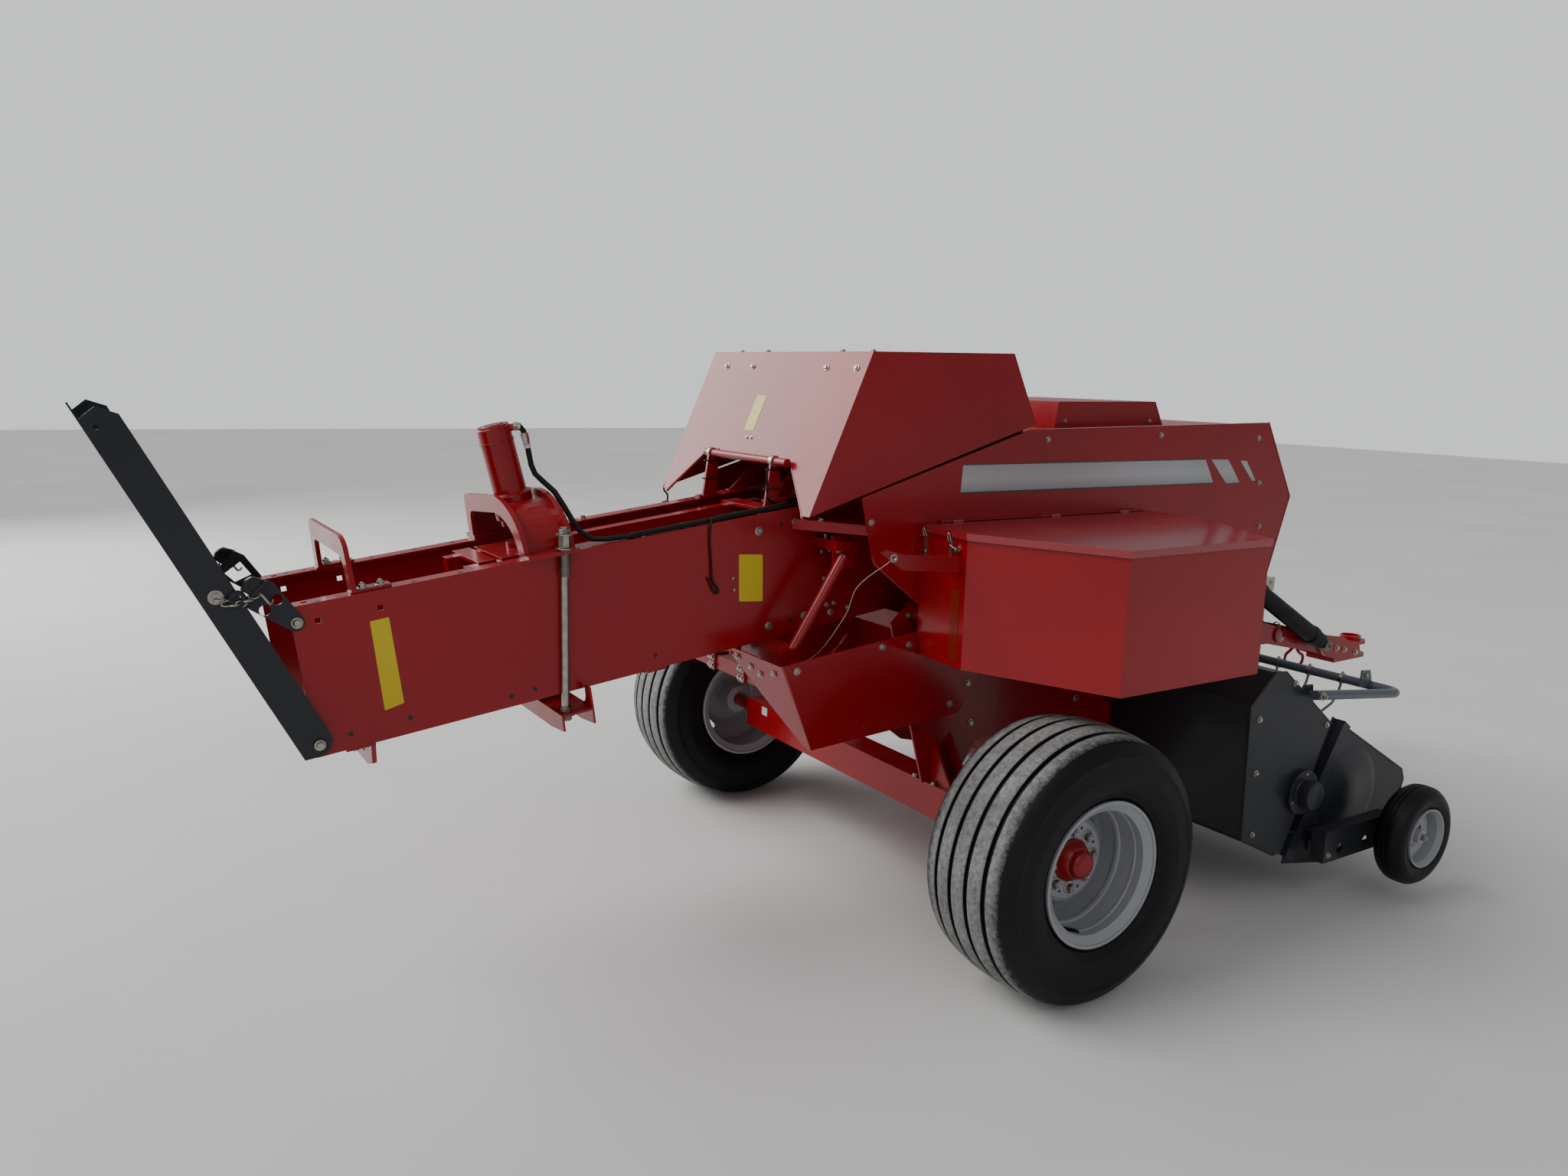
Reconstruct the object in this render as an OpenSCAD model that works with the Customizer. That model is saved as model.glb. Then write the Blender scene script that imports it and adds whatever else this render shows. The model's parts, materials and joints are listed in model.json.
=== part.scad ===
// In-line small square baler, towed. Millimetres, +X is the way it travels, +Y is its left, +Z is up.
// The origin is on the ground under the middle of its box. Sizes below are taken from the axle.

/* [Main wheels] */
// Tyre outer diameter
tyre_d = 787; // [700:1:840]
// Tyre width
tyre_w = 343; // [280:1:360]
// Rim flange diameter
rim_d = 418; // [360:1:440]
// Wheel centre to centre line
half_track = 949; // [920:1:1050]
// Depth of the ribs' grooves
groove_deep = 12; // [6:1:16]
// Spindle diameter
spindle_d = 50; // [40:1:60]
// Axle beam, square section
axle_sq = 110; // [90:1:130]

/* [Bale chamber] */
// Outer width of the chamber
chamber_w = 468; // [440:1:500]
// Outer height of the chamber, square to its floor
chamber_h = 382; // [360:1:400]
// Rear lower corner behind the axle
chamber_back = 1845; // [1750:1:1900]
// Rear lower corner above the ground
chamber_low = 764; // [720:1:800]
// Slope of the chamber, nose up
chamber_slope = 7.4; // [6:0.1:9]
// Length of the two channel walls
channel_len = 1560; // [1450:1:1620]
// Plate thickness of the channel walls
channel_t = 6; // [4:0.5:8]
// Width of the channel flanges
flange_w = 52; // [40:1:60]
// Front end of the closed plunger case, along the chamber
case_front = 3120; // [3000:1:3140]

/* [Density system] */
// Cylinder barrel diameter
barrel_d = 92; // [80:1:100]
// Cylinder barrel length
barrel_len = 272; // [220:1:300]
// Cylinder rod diameter
ram_d = 38; // [30:1:45]
// Cylinder axis along the chamber from its rear end
ram_at = 664; // [640:1:680]
// Height of the yoke's crown above the flanges
yoke_rise = 152; // [130:1:180]
// Tension rod diameter
tie_d = 22; // [18:1:26]
// Tension rods behind the axle
tie_back = 1206; // [1150:1:1260]
// Width of each top rail
rail_w = 44; // [36:1:52]

/* [Shields and hood] */
// Outer half width over the side shields
shield_half = 456; // [430:1:480]
// Thickness of sheet panels
sheet_t = 5; // [3:0.5:7]
// Hood top edge above the ground
hood_top = 1790; // [1700:1:1850]
// Hood rear tips behind the axle
hood_tip_back = 568; // [520:1:620]
// Raised box on the top deck, width
deck_box_w = 600; // [500:1:700]

/* [Twine boxes] */
// Outer face of the twine boxes from the centre line
box_half = 1110; // [1050:1:1150]
// Underside of the twine boxes
box_low = 895; // [870:1:920]
// Height of the twine boxes with the lid shut
box_h = 395; // [350:1:420]

/* [Pickup] */
// Half width over the pickup's side plates
pickup_half = 965; // [900:1:1000]
// Reel centre ahead of the axle
reel_x = 1400; // [1380:1:1420]
// Reel centre above the ground
reel_z = 330; // [320:1:350]
// Radius over the tine tips
tine_r = 216; // [190:1:222]
// Number of tine bars
tine_bars = 4; // [3:1:5]
// Tines along each bar
tines = 24; // [12:1:28]
// Auger centre ahead of the axle
auger_x = 1064; // [1050:1:1070]
// Auger centre above the ground
auger_z = 406; // [395:1:420]
// Auger flight diameter
auger_d = 244; // [200:1:246]
// Wind guard tube diameter
guard_d = 32; // [26:1:40]
// Gauge wheel diameter
gauge_d = 342; // [330:1:360]
// Gauge wheel width
gauge_w = 98; // [90:1:120]
// Gauge wheel centre from the centre line
gauge_y = 1140; // [1120:1:1170]

/* [Drawbar and drive] */
// Hitch pin ahead of the axle
hitch_x = 2870; // [2800:1:2900]
// Hitch pin bore
hitch_bore = 32; // [25:1:38]
// Tongue width
tongue_w = 120; // [100:1:140]
// Jack tube diameter
jack_d = 57; // [50:1:70]
// Drive shaft guard diameter
shaft_d = 78; // [60:1:90]
// Flywheel diameter
flywheel_d = 400; // [360:1:410]

/* [Hidden] */
$fn = 48;
// Axle behind the origin, so that the origin is under the middle of the box
axle_x = -315;
// Radial clearance of a running fit, and the gap between pieces that seat on each other
run = 0.05;
seat = 0.3;
tyre_r = tyre_d / 2;
half_w = chamber_w / 2;
box_high = box_low + box_h;
inner_half = shield_half - sheet_t;
frame_half = 400;
frame_t = 8;
frame_in = frame_half - frame_t - seat;
// Top rails: pivot pin and lowest end, along the chamber
rail_pin = 1475;
rail_end = 470;
rail_y = 96;
rail_low = chamber_h - 62;
plate_top = chamber_h + 12;
// Yoke: rear face of its rear plate, spacing and thickness of the two plates
yoke_back = ram_at - 74;
yoke_gap = 128;
yoke_t = 14;
barrel_base = chamber_h + seat + yoke_rise - 90;
barrel_lean = 7;
ram_len = 190;
tie_y = half_w + tie_d / 2 + 2 * seat;
// Lower yoke: rear face along the chamber, width, half length and the top of its web
low_back = 612;
low_w = 94;
low_half = half_w + 50;
low_web = -45;
// Chute: pivot in the chamber's own axes, length, depth and stored angle
chute_s = 8;
chute_z = 38;
chute_len = 905;
chute_lean = 117.1;
chute_half = half_w + 18;
chain_at = [434, 15];
// Hanger pivot in the chamber's own axes
hanger_s = 9.3;
hanger_z = chamber_h - 38.3;
// Hood side outline and hinge
hood_hinge_x = 288;
hood_hinge_z = 1598;
// Deck plane at its rear and front edges
deck_back = [262, 1566];
deck_front = [1441, 1587];
nose = [1608, 1313];
chin = [1482, 922];
// Pickup pivot, guard pivot and guard tube
lift_x = 745;
lift_z = 690;
guard_pivot_x = 1062;
guard_pivot_z = 741;
guard_x = 1552;
guard_z = 686;
gauge_x = 1470;
gauge_z = 238;
// Hinge pins of the hood and of the twine lids
hinge_pin = 10;
lid_pin_y = 463;
lid_pin_z = box_high + 3;
// Jack
jack_x = 2320;
jack_y = 128;
jack_top = 800;
// Flywheel axis
drive_z = 1120;
fly_x = 1392;

module at_axle() translate([axle_x, 0, 0]) children();
module on_chamber() at_axle() translate([-chamber_back, 0, chamber_low])
    rotate([0, -chamber_slope, 0]) children();
// A plate in the travel plane, drawn as (x, z), from y0 to y0 + t
module slab(y0, t) translate([0, y0 + t, 0]) rotate([90, 0, 0]) linear_extrude(t) children();
// A plate across the machine, drawn as (y, z), from x0 to x0 + t
module across(x0, t) translate([x0, 0, 0]) rotate([90, 0, 90]) linear_extrude(t) children();
module both() {
    children();
    mirror([0, 1, 0]) children();
}
// side is -1 on the right and 1 on the left; children are drawn on the left
module on_side(side) {
    if (side > 0) children();
    else mirror([0, 1, 0]) children();
}
module bar(p, q, d) {
    v = q - p;
    len = norm(v);
    translate(p) rotate([0, acos(v[2] / len), atan2(v[1], v[0])]) cylinder(h = len, d = d);
}
// A round bar along +Y from y0
module pin(x, z, y0, len, d) translate([x, y0, z]) rotate([-90, 0, 0]) cylinder(h = len, d = d);
function arc(cx, cy, rx, ry, a0, a1, n) =
    [for (i = [0:n]) [cx + rx * cos(a0 + (a1 - a0) * i / n), cy + ry * sin(a0 + (a1 - a0) * i / n)]];
function reversed(list) = [for (i = [len(list) - 1:-1:0]) list[i]];
function shifted(list, d) = [for (p = list) [p[0] + d[0], p[1] + d[1]]];
// A bent sheet between a line of points and the same line moved by d
module sheet(list, d) polygon(concat(list, reversed(shifted(list, d))));
// A round tube swept along a list of points
function unit(v) = v / norm(v);
function tangent(p, i) = unit(p[min(i + 1, len(p) - 1)] - p[max(i - 1, 0)]);
module swept(p, d, sides) {
    n = len(p);
    rings = [for (i = [0:n - 1]) let (t = tangent(p, i), u = unit(cross(t, [0.2, 0.1, 0.97])), w = cross(t, u))
        for (k = [0:sides - 1]) p[i] + d / 2 * (cos(360 * k / sides) * u + sin(360 * k / sides) * w)];
    walls = [for (i = [0:n - 2], k = [0:sides - 1])
        [i * sides + k, (i + 1) * sides + k, (i + 1) * sides + (k + 1) % sides, i * sides + (k + 1) % sides]];
    polyhedron(rings, concat([[for (k = [0:sides - 1]) k]], walls,
        [[for (k = [sides - 1:-1:0]) (n - 1) * sides + k]]));
}
function chamber_bottom(x) = chamber_low + (x + chamber_back) * tan(chamber_slope);
function chamber_top(x) = chamber_bottom(x) + chamber_h / cos(chamber_slope);

// Bale chamber
module channel_wall() {
    translate([0, half_w - channel_t, 0]) cube([channel_len, channel_t, chamber_h]);
    for (z = [0, chamber_h - channel_t])
        translate([0, half_w - flange_w, z]) cube([channel_len, flange_w, channel_t]);
}
module chamber_channels() color("firebrick") on_chamber() both() difference() {
    channel_wall();
    // Square bolt holes near the rear end, in the wall and in the flange
    for (s = [60, 208]) {
        translate([s - 7, half_w - 20, chamber_h - 52]) cube([14, 40, 14]);
        translate([s - 27, half_w - 36, chamber_h - 20]) cube([14, 14, 40]);
    }
    pin(hanger_s, hanger_z, half_w - 20, 40, 16 + 2 * run);
    pin(chute_s, chute_z, half_w - 20, 40, 20 + 2 * run);
    pin(rail_pin, rail_low + 23, half_w - 20, 40, 20 + 2 * run);
}
module chamber_case() color("firebrick") on_chamber() difference() {
    union() {
        translate([channel_len + seat, -half_w, 0]) cube([case_front - channel_len - seat, chamber_w, chamber_h]);
        // Cross members that seat between the frame plates
        for (x = [case_front - 1380, case_front - 460])
            translate([x, -frame_in, -60]) cube([70, 2 * frame_in, 61]);
        // Density pump
        translate([channel_len + 30, -half_w + 2, chamber_h - 1]) cube([72, 60, 56]);
    }
    translate([channel_len - 1, -half_w + 12, 12]) cube([case_front - channel_len - 11, chamber_w - 24, chamber_h - 24]);
    // Feed opening underneath
    translate([channel_len + 560, -half_w + 12, -1]) cube([520, chamber_w - 24, 14]);
    // Slots for the knotters on top
    for (y = [-90, 90])
        translate([channel_len + 120, y - 25, chamber_h - 13]) cube([260, 50, 14]);
}
// Stop bracket, an arch with a window, drawn as (y, z)
module stop_arch() difference() {
    polygon(concat([[half_w - 10, 0]], arc(half_w - 54, 106, 30, 34, 0, 80, 4),
        arc(-half_w + 84, 104, 60, 36, 100, 180, 5), [[-half_w + 10, 0]]));
    polygon(concat([[half_w - 56, -1]], arc(half_w - 90, 66, 26, 22, 0, 90, 3),
        arc(-half_w + 110, 66, 46, 22, 90, 180, 4), [[-half_w + 56, -1]]));
}
module low_stop() difference() {
    polygon([[half_w - 8, 0], [half_w - 40, -66], [130, -86], [-130, -86], [-half_w + 40, -66], [-half_w + 8, 0]]);
    polygon([[half_w - 54, 1], [120, -54], [-120, -54], [-half_w + 54, 1]]);
}
module chamber_bands() color("firebrick") on_chamber() {
    translate([150, 0, chamber_h + seat]) {
        across(0, 12) stop_arch();
        both() translate([0, half_w - flange_w, 0]) cube([96, flange_w - 10, 8]);
    }
    translate([130, 0, -seat]) {
        across(0, 12) low_stop();
        both() translate([-60, half_w - flange_w, -8]) cube([72, flange_w - 8, 8]);
    }
    // Straps under the floor that carry the lower rails
    for (s = [900, 1420]) translate([s, -half_w + 4, -8 - seat]) cube([60, chamber_w - 8, 8]);
    for (y = [-rail_y, rail_y]) {
        translate([560, y - rail_w / 2, 0]) cube([channel_len - 560 - seat, rail_w, 40]);
        for (s = [900, 1420]) translate([s + 10, y - 15, -1]) cube([40, 30, 2]);
    }
    // Pivot pin of the top rails
    pin(rail_pin, rail_low + 23, -half_w + channel_t + seat, chamber_w - 2 * channel_t - 2 * seat, 20);
}

// Density system
module top_rails() color("firebrick") on_chamber() difference() {
    union() {
        for (y = [-rail_y, rail_y])
            translate([rail_end, y - rail_w / 2, rail_low]) cube([rail_pin + 25 - rail_end, rail_w, 46]);
        for (s = [rail_end + 30, 1380])
            translate([s, -118, rail_low + 46]) cube([50, 236, 10]);
        translate([ram_at - 100, -118, rail_low + 46]) cube([190, 236, 10]);
        translate([ram_at, 0, rail_low + 56]) cylinder(h = plate_top - rail_low - 56, d = 86);
    }
    pin(rail_pin, rail_low + 23, -half_w, chamber_w, 20 + 2 * run);
}
// Outline of the yoke inside its outer edge by d: square left shoulder, long curve on the right
module yoke_shape(d) polygon(concat([[half_w - 0.8 * d, -0.01 * d]],
    arc(half_w - 26 - 0.8 * d, yoke_rise - 44 - d, 26, 26, 0, 80, 4),
    arc(-30, 0, half_w - 30 - d, yoke_rise - d, 90, 180, 10)));
module yoke_ring(d0, d1) difference() {
    yoke_shape(d0);
    translate([0, -1]) yoke_shape(d1);
}
module low_flange() polygon([[low_half, low_web], [low_half, low_web - 45], [low_half - 95, low_web - 55],
    [-low_half + 95, low_web - 55], [-low_half, low_web - 45], [-low_half, low_web]]);
module both_ends() {
    children();
    mirror([1, 0]) children();
}
module on_ram() translate([ram_at, 0, barrel_base]) rotate([0, -barrel_lean, 0]) children();
module density_yoke() color("firebrick") difference() {
    on_chamber() {
        translate([0, 0, chamber_h + seat]) {
            for (s = [yoke_back, yoke_back + yoke_gap]) across(s, yoke_t) yoke_ring(0, 46);
            across(yoke_back + yoke_t - 1, yoke_gap - yoke_t + 2) yoke_ring(22, 30);
            // Feet that the tension rods pass through
            both() translate([yoke_back, half_w - 46, 0]) cube([yoke_gap + yoke_t, 76, 12]);
        }
        on_ram() translate([0, 0, 20]) cylinder(h = 62, d = barrel_d + 20);
        // Lower yoke: a channel under the floor, its posts up to the lower rails and its end legs
        translate([low_back, -low_half, low_web - 6]) cube([low_w, 2 * low_half, 6]);
        across(low_back, 6) low_flange();
        across(low_back + low_w - 6, 6) {
            low_flange();
            both_ends() polygon([[low_half, low_web - 1], [low_half - 4, 12], [half_w + 14, 12], [half_w + 12, -20],
                [half_w + 2, -36], [half_w - 24, low_web - 1]]);
        }
        both() translate([low_back + 4, rail_y - 15, low_web - 1]) cube([low_w - 8, 30, 1 - low_web - seat]);
    }
    on_chamber() on_ram() translate([0, 0, -30]) cylinder(h = 230, d = barrel_d + 2 * run);
    at_axle() both() bar([-tie_back, tie_y, chamber_low - 60],
        [-tie_back, tie_y, chamber_top(-tie_back) + 90], tie_d + 2 * seat);
}
module density_barrel() color("firebrick") on_chamber() on_ram() difference() {
        union() {
            cylinder(h = barrel_len, d = barrel_d);
            translate([0, 0, barrel_len - 42]) cylinder(h = 6, d = barrel_d + 4);
            translate([0, 0, barrel_len]) cylinder(h = 6, d = barrel_d - 6);
            // Port boss
            translate([0, 0, barrel_len - 10]) rotate([0, 90, -25])
                cylinder(h = barrel_d / 2 + 12, d = 20);
        }
        translate([0, 0, -1]) cylinder(h = barrel_len - 60, d = ram_d + 2 * run);
    }
ram_foot = (plate_top - barrel_base) / cos(barrel_lean) + ram_d / 2 * tan(barrel_lean) + 2 * seat;
module density_ram() color("silver") on_chamber() on_ram() translate([0, 0, ram_foot])
    cylinder(h = ram_len, d = ram_d);
nut_d = 32;
tie_low = chamber_bottom(-tie_back) - 74;
tie_high = chamber_top(-tie_back) + 72;
module tie_rods() color("silver") at_axle() both() {
    bar([-tie_back, tie_y, tie_low], [-tie_back, tie_y, tie_high], tie_d);
    // Nuts above the upper foot and below the lower one
    translate([-tie_back, tie_y, chamber_top(-tie_back) + 17]) cylinder(h = 34, d = nut_d, $fn = 6);
    translate([-tie_back, tie_y, tie_low + 2]) cylinder(h = 16, d = nut_d, $fn = 6);
}

// Frame, axle and wheels
frame_foot = tyre_r + axle_sq / 2 + seat;
module frame_plate(side) color("firebrick") {
    at_axle() on_side(side) {
        slab(frame_half - frame_t, frame_t) polygon([[-70, frame_foot], [70, frame_foot], [150, 560],
            [240, 560], [300, 420], [470, 290], [690, 232], [796, 232], [796, 856], [1330, 960],
            [1372, 1130], [-150, 1040], [-220, 980], [-200, 900]]);
        pin(lift_x, lift_z, frame_half - frame_t, frame_t + 34, 40);
        // Spacers that carry the side shields
        for (p = [[-120, 1000], [420, 1050], [1290, 1090]])
            pin(p[0], p[1], frame_half - 1, inner_half - frame_half + 1 - seat, 44);
        // Carriers out to the twine boxes
        for (x = [90, 520])
            translate([x, frame_half - 1, box_low - 50]) cube([60, 300, 50 - seat]);
    }
}
module frame_plate_right() frame_plate(-1);
module frame_plate_left() frame_plate(1);
module axle() color("firebrick") at_axle() {
    difference() {
        translate([-axle_sq / 2, -half_track + 230, tyre_r - axle_sq / 2])
            cube([axle_sq, 2 * half_track - 460, axle_sq]);
        translate([-axle_sq / 2 + 8, -half_track + 260, tyre_r - axle_sq / 2 + 8])
            cube([axle_sq - 16, 2 * half_track - 520, axle_sq - 16]);
    }
    both() {
        pin(0, tyre_r, half_track - 231, 231 + 40, spindle_d);
        // Gussets beside the frame plates
        for (x = [-40, 30]) translate([x, 0, 0]) across(0, 10) polygon([[frame_half + seat, frame_foot - seat - 1],
            [frame_half + 110, frame_foot - seat - 1], [frame_half + seat, frame_foot + 150]]);
    }
}
function groove(z) = [[tyre_r, z - 9], [tyre_r - groove_deep, z - 4], [tyre_r - groove_deep, z + 4], [tyre_r, z + 9]];
crown = tyre_w / 2 - 46;
module tyre_ring() rotate_extrude($fn = 40) polygon(concat(
    [[rim_d / 2 - 22.6, -126], [rim_d / 2 - 13.6, -136.6], [rim_d / 2 + 1, -142], [rim_d / 2 + 60, -tyre_w / 2],
    [tyre_r - 62, -tyre_w / 2 + 4], [tyre_r - 20, -tyre_w / 2 + 20]],
    [for (z = [-0.62, -0.2, 0.2, 0.62]) each groove(z * crown)],
    [[tyre_r - 20, tyre_w / 2 - 20], [tyre_r - 62, tyre_w / 2 - 4], [rim_d / 2 + 60, tyre_w / 2],
    [rim_d / 2 + 1, 142], [rim_d / 2 - 13.6, 136.6], [rim_d / 2 - 22.6, 126]]));
module tyre(side) color("dimgray") at_axle() translate([0, side * half_track, tyre_r])
    rotate([90, 0, 0]) tyre_ring();
module tyre_right() tyre(-1);
module tyre_left() tyre(1);
// Rim and hub, drawn with +Z outboard
dish = 30;
module wheel_shape() {
    difference() {
        union() {
            rotate_extrude() polygon([[rim_d / 2, 150], [rim_d / 2, 143], [rim_d / 2 - 14, 138],
                [rim_d / 2 - 23, 128], [rim_d / 2 - 23, -128], [rim_d / 2 - 14, -138], [rim_d / 2, -143],
                [rim_d / 2, -150], [rim_d / 2 - 8, -150], [rim_d / 2 - 31, -134], [rim_d / 2 - 31, 134],
                [rim_d / 2 - 8, 150]]);
            // Disc, dished inboard where it meets the rim well
            rotate_extrude() polygon([[40, dish - 8], [40, dish], [112, dish], [124, dish - 6], [150, dish - 40],
                [rim_d / 2 - 28, dish - 50], [rim_d / 2 - 28, dish - 58], [146, dish - 48], [118, dish - 16],
                [106, dish - 8]]);
            translate([0, 0, dish - 100]) cylinder(h = 100, d = 110);
            // Hub with its stepped cap
            rotate_extrude() polygon([[0, dish - 20], [61, dish - 20], [61, dish + 8], [46, dish + 30], [39, dish + 32],
                [39, dish + 46], [32, dish + 54], [0, dish + 56]]);
        }
        // Openings in the slope of the disc
        for (a = [45:90:315]) rotate(a) translate([134, -26, dish - 70]) cube([18, 52, 70]);
        translate([0, 0, dish - 101]) cylinder(h = 101 + 14 - dish + 30, d = spindle_d + 2 * run);
    }
    for (a = [0:45:315]) rotate(a) translate([82, 0, dish - 1]) cylinder(h = 19, d = 22, $fn = 6);
}
module wheel(side) color("lightgray") at_axle() translate([0, side * half_track, tyre_r])
    rotate([-90 * side, 0, 0]) wheel_shape();
module wheel_right() wheel(-1);
module wheel_left() wheel(1);

// Shields, deck and hood
shield_points = [[256, 1566], deck_front, nose, chin, [1300, 905], [700, 940], [0, 960], [-110, 985],
    [-164, 1051], [-331, 1179], [-343, 1200], [-388, 1374]];
module shield(side) color("firebrick") at_axle() on_side(side)
    slab(inner_half, sheet_t) polygon(shield_points);
module shield_right() shield(-1);
module shield_left() shield(1);
module top_deck() color("firebrick") at_axle() {
    slab(-inner_half + seat, 2 * (inner_half - seat))
        sheet([[deck_back[0] + 16, deck_back[1] - 12], deck_front + [-4, -10]], [0, -sheet_t]);
    // Raised box over the gearbox, open below
    difference() {
        slab(-deck_box_w / 2, deck_box_w)
            polygon([[511, 1552], [527, 1650], [1004, 1654], [1053, 1564]]);
        slab(-deck_box_w / 2 + 5, deck_box_w - 10)
            polygon([[517, 1551], [533, 1645], [1000, 1649], [1047, 1561]]);
    }
    // Hinge brackets and pins of the hood
    for (y = [-370, 290]) {
        for (k = [0, 72]) slab(y + k, 8) polygon([[282, 1550], [282, 1608], [298, 1608], [304, 1552]]);
        pin(hood_hinge_x, hood_hinge_z, y, 80, hinge_pin);
    }
    // Front panel, with the way in for the drive shaft
    difference() {
        slab(-inner_half + seat, 2 * (inner_half - seat))
            sheet([deck_front + [-4, -11], nose + [-2, 0], [1546, 1120]], [-7, -3]);
        translate([1500, 0, drive_z]) rotate([0, 90, 0]) cylinder(h = 200, d = 340);
    }
}
module knotter_frame() color("firebrick") {
    on_chamber() translate([1262, -375, -56 - seat]) cube([60, 750, 56]);
    at_axle() knotter_parts();
}
module knotter_parts() {
    pin(-522, 1462, -264, 490, 24);
    both() {
        // Stays from the cross tube down to the chamber
        slab(186, 10) polygon([[-534, 1466], [-508, 1466], [-500, 1400], [-510, chamber_top(-510) + 1],
            [-556, chamber_top(-556) + 1]]);
        slab(176, 30) polygon([[-574, chamber_top(-574) + seat], [-468, chamber_top(-468) + seat],
            [-468, chamber_top(-468) + 9], [-574, chamber_top(-574) + 9]]);
        // Straps out to the side shields
        translate([0, 0, 1262]) linear_extrude(30) polygon([[-480, half_w + seat], [-440, half_w + seat],
            [-300, inner_half - seat], [-352, inner_half - seat]]);
        // Diagonal braces
        bar([-564, 350, 890], [-368, 350, 1190], 34);
        slab(332, 8) polygon([[-400, 1150], [-330, 1150], [-300, 1250], [-400, 1250]]);
        translate([-400, half_w + seat, 1206]) cube([60, 120, 30]);
    }
    // Knotter shaft, its stands and the two knotter discs
    pin(-70, 1540, -300, 600, 36);
    for (y = [-210, 202]) slab(y, 8) polygon([[-170, chamber_top(-170) + seat], [20, chamber_top(20) + seat],
        [-50, 1562], [-90, 1562]]);
    for (y = [-95, 79]) pin(-70, 1540, y, 16, 150);
}
hood_front = [276, 1582];
hood_outline = [[-hood_tip_back, 1325], [-366, hood_top - 4], [168, hood_top + 6], hood_front];
// Where the knuckles meet the front wall
knuckle_x = hood_front[0] - 6 - (hood_front[0] - 168) * (hood_hinge_z + 7 - hood_front[1]) / (hood_top + 6 - hood_front[1]);
hood_inner = [[-hood_tip_back + 6, 1310], [-366 + 5, hood_top - 9], [166, hood_top + 1],
    [270, 1582], [270, 1500]];
// Cut-out in the rear face, drawn as (y, z)
hood_notch = [[-420, 1300], [-404, 1340], [-250, 1470], [250, 1470], [404, 1340], [420, 1300]];
module hood() color("firebrick") at_axle() {
    difference() {
        slab(-shield_half, 2 * shield_half) polygon(hood_outline);
        slab(-inner_half, 2 * inner_half) polygon(hood_inner);
        across(-hood_tip_back - 40, 200) polygon(hood_notch);
    }
    // Hinge knuckles
    for (y = [-360, 300]) difference() {
        union() {
            pin(hood_hinge_x, hood_hinge_z, y, 60, 18);
            translate([knuckle_x, y, hood_hinge_z - 7]) cube([hood_hinge_x - knuckle_x, 60, 14]);
        }
        pin(hood_hinge_x, hood_hinge_z, y - 1, 62, hinge_pin + 2 * run);
    }
}

// Twine boxes, drawn from above on the left
box_plan = [[-165, shield_half + seat], [-180, 680], [0, box_half], [575, box_half], [812, 690],
    [812, shield_half + seat]];
box_inner = [[-161, shield_half + 4 + seat], [-175, 679], [2, box_half - 4], [573, box_half - 4],
    [808, 688], [808, shield_half + 4 + seat]];
box_over = [[-172, shield_half + 12], [-187, 683], [-4, box_half + 6], [579, box_half + 6], [819, 693],
    [819, shield_half + 12]];
module twine_box(side) color("firebrick") at_axle() on_side(side) {
    difference() {
        translate([0, 0, box_low]) linear_extrude(box_h - 4 - seat) polygon(box_plan);
        translate([0, 0, box_low + 4]) linear_extrude(box_h) polygon(box_inner);
    }
    // Lid hinge: knuckles and the pin through them
    translate([-100, lid_pin_y, lid_pin_z]) rotate([0, 90, 0]) cylinder(h = 860, d = 5);
    for (x = [-100, 310, 720]) {
        translate([x, lid_pin_y, lid_pin_z]) rotate([0, 90, 0]) cylinder(h = 40, d = 9);
        translate([x, shield_half + seat, lid_pin_z - 14]) cube([40, 4, 14]);
    }
    // Twine arm at the rear corner, with its eye and its brace
    slab(658, 5) difference() {
        polygon([[-177, 1222], [-177, 1176], [-392, 1196], [-440, 1228], [-470, 1250], [-448, 1256], [-395, 1240]]);
        translate([-425, 1232]) circle(d = 20);
    }
    translate([0, 0, 1216]) linear_extrude(4) polygon([[-176, 662], [-172, 600], [-196, 600], [-330, 662]]);
}
module twine_lid(side) color("firebrick") at_axle() on_side(side) {
    difference() {
        translate([0, 0, box_high - 20]) linear_extrude(20) polygon(box_over);
        translate([0, 0, box_high - 21]) linear_extrude(17) polygon([[-168, shield_half], [-183, 681],
            [-2, box_half + 2], [577, box_half + 2], [815, 691], [815, shield_half]]);
    }
    for (x = [-55, 355, 675]) difference() {
        union() {
            translate([x, lid_pin_y, lid_pin_z]) rotate([0, 90, 0]) cylinder(h = 40, d = 9);
            translate([x, lid_pin_y, box_high - 3]) cube([40, 9, lid_pin_z - box_high + 3]);
        }
        translate([x - 1, lid_pin_y, lid_pin_z]) rotate([0, 90, 0]) cylinder(h = 42, d = 5 + 2 * run);
    }
}
module twine_box_right() twine_box(-1);
module twine_box_left() twine_box(1);
module twine_lid_right() twine_lid(-1);
module twine_lid_left() twine_lid(1);

// Guard in front of the needles, on the right, and the needle yoke under the chamber
module needle_guard() color("firebrick") at_axle() {
    slab(-466, 6) polygon([[-648, 908], [-173, 963], [-173, box_low - 2 * seat], [-62, box_low - 2 * seat],
        [90, 789], [5, 686], [-545, 648]]);
    // Rear face, cut away towards its lower far corner
    difference() {
        slab(-461, 311) sheet([[-648, 905], [-545, 648]], [6, 0]);
        across(-700, 200) polygon([[-140, 890], [-170, 862], [-300, 752], [-440, 640], [-140, 640]]);
    }
    // Brackets up to the chamber and back to the frame
    slab(-166, 10) polygon([[-645, 880], [-612, 880], [-600, chamber_bottom(-600) - seat],
        [-640, chamber_bottom(-640) - seat]]);
    slab(-461, 61 - seat) sheet([[-200, 880], [-60, 860]], [0, 8]);
}

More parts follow.
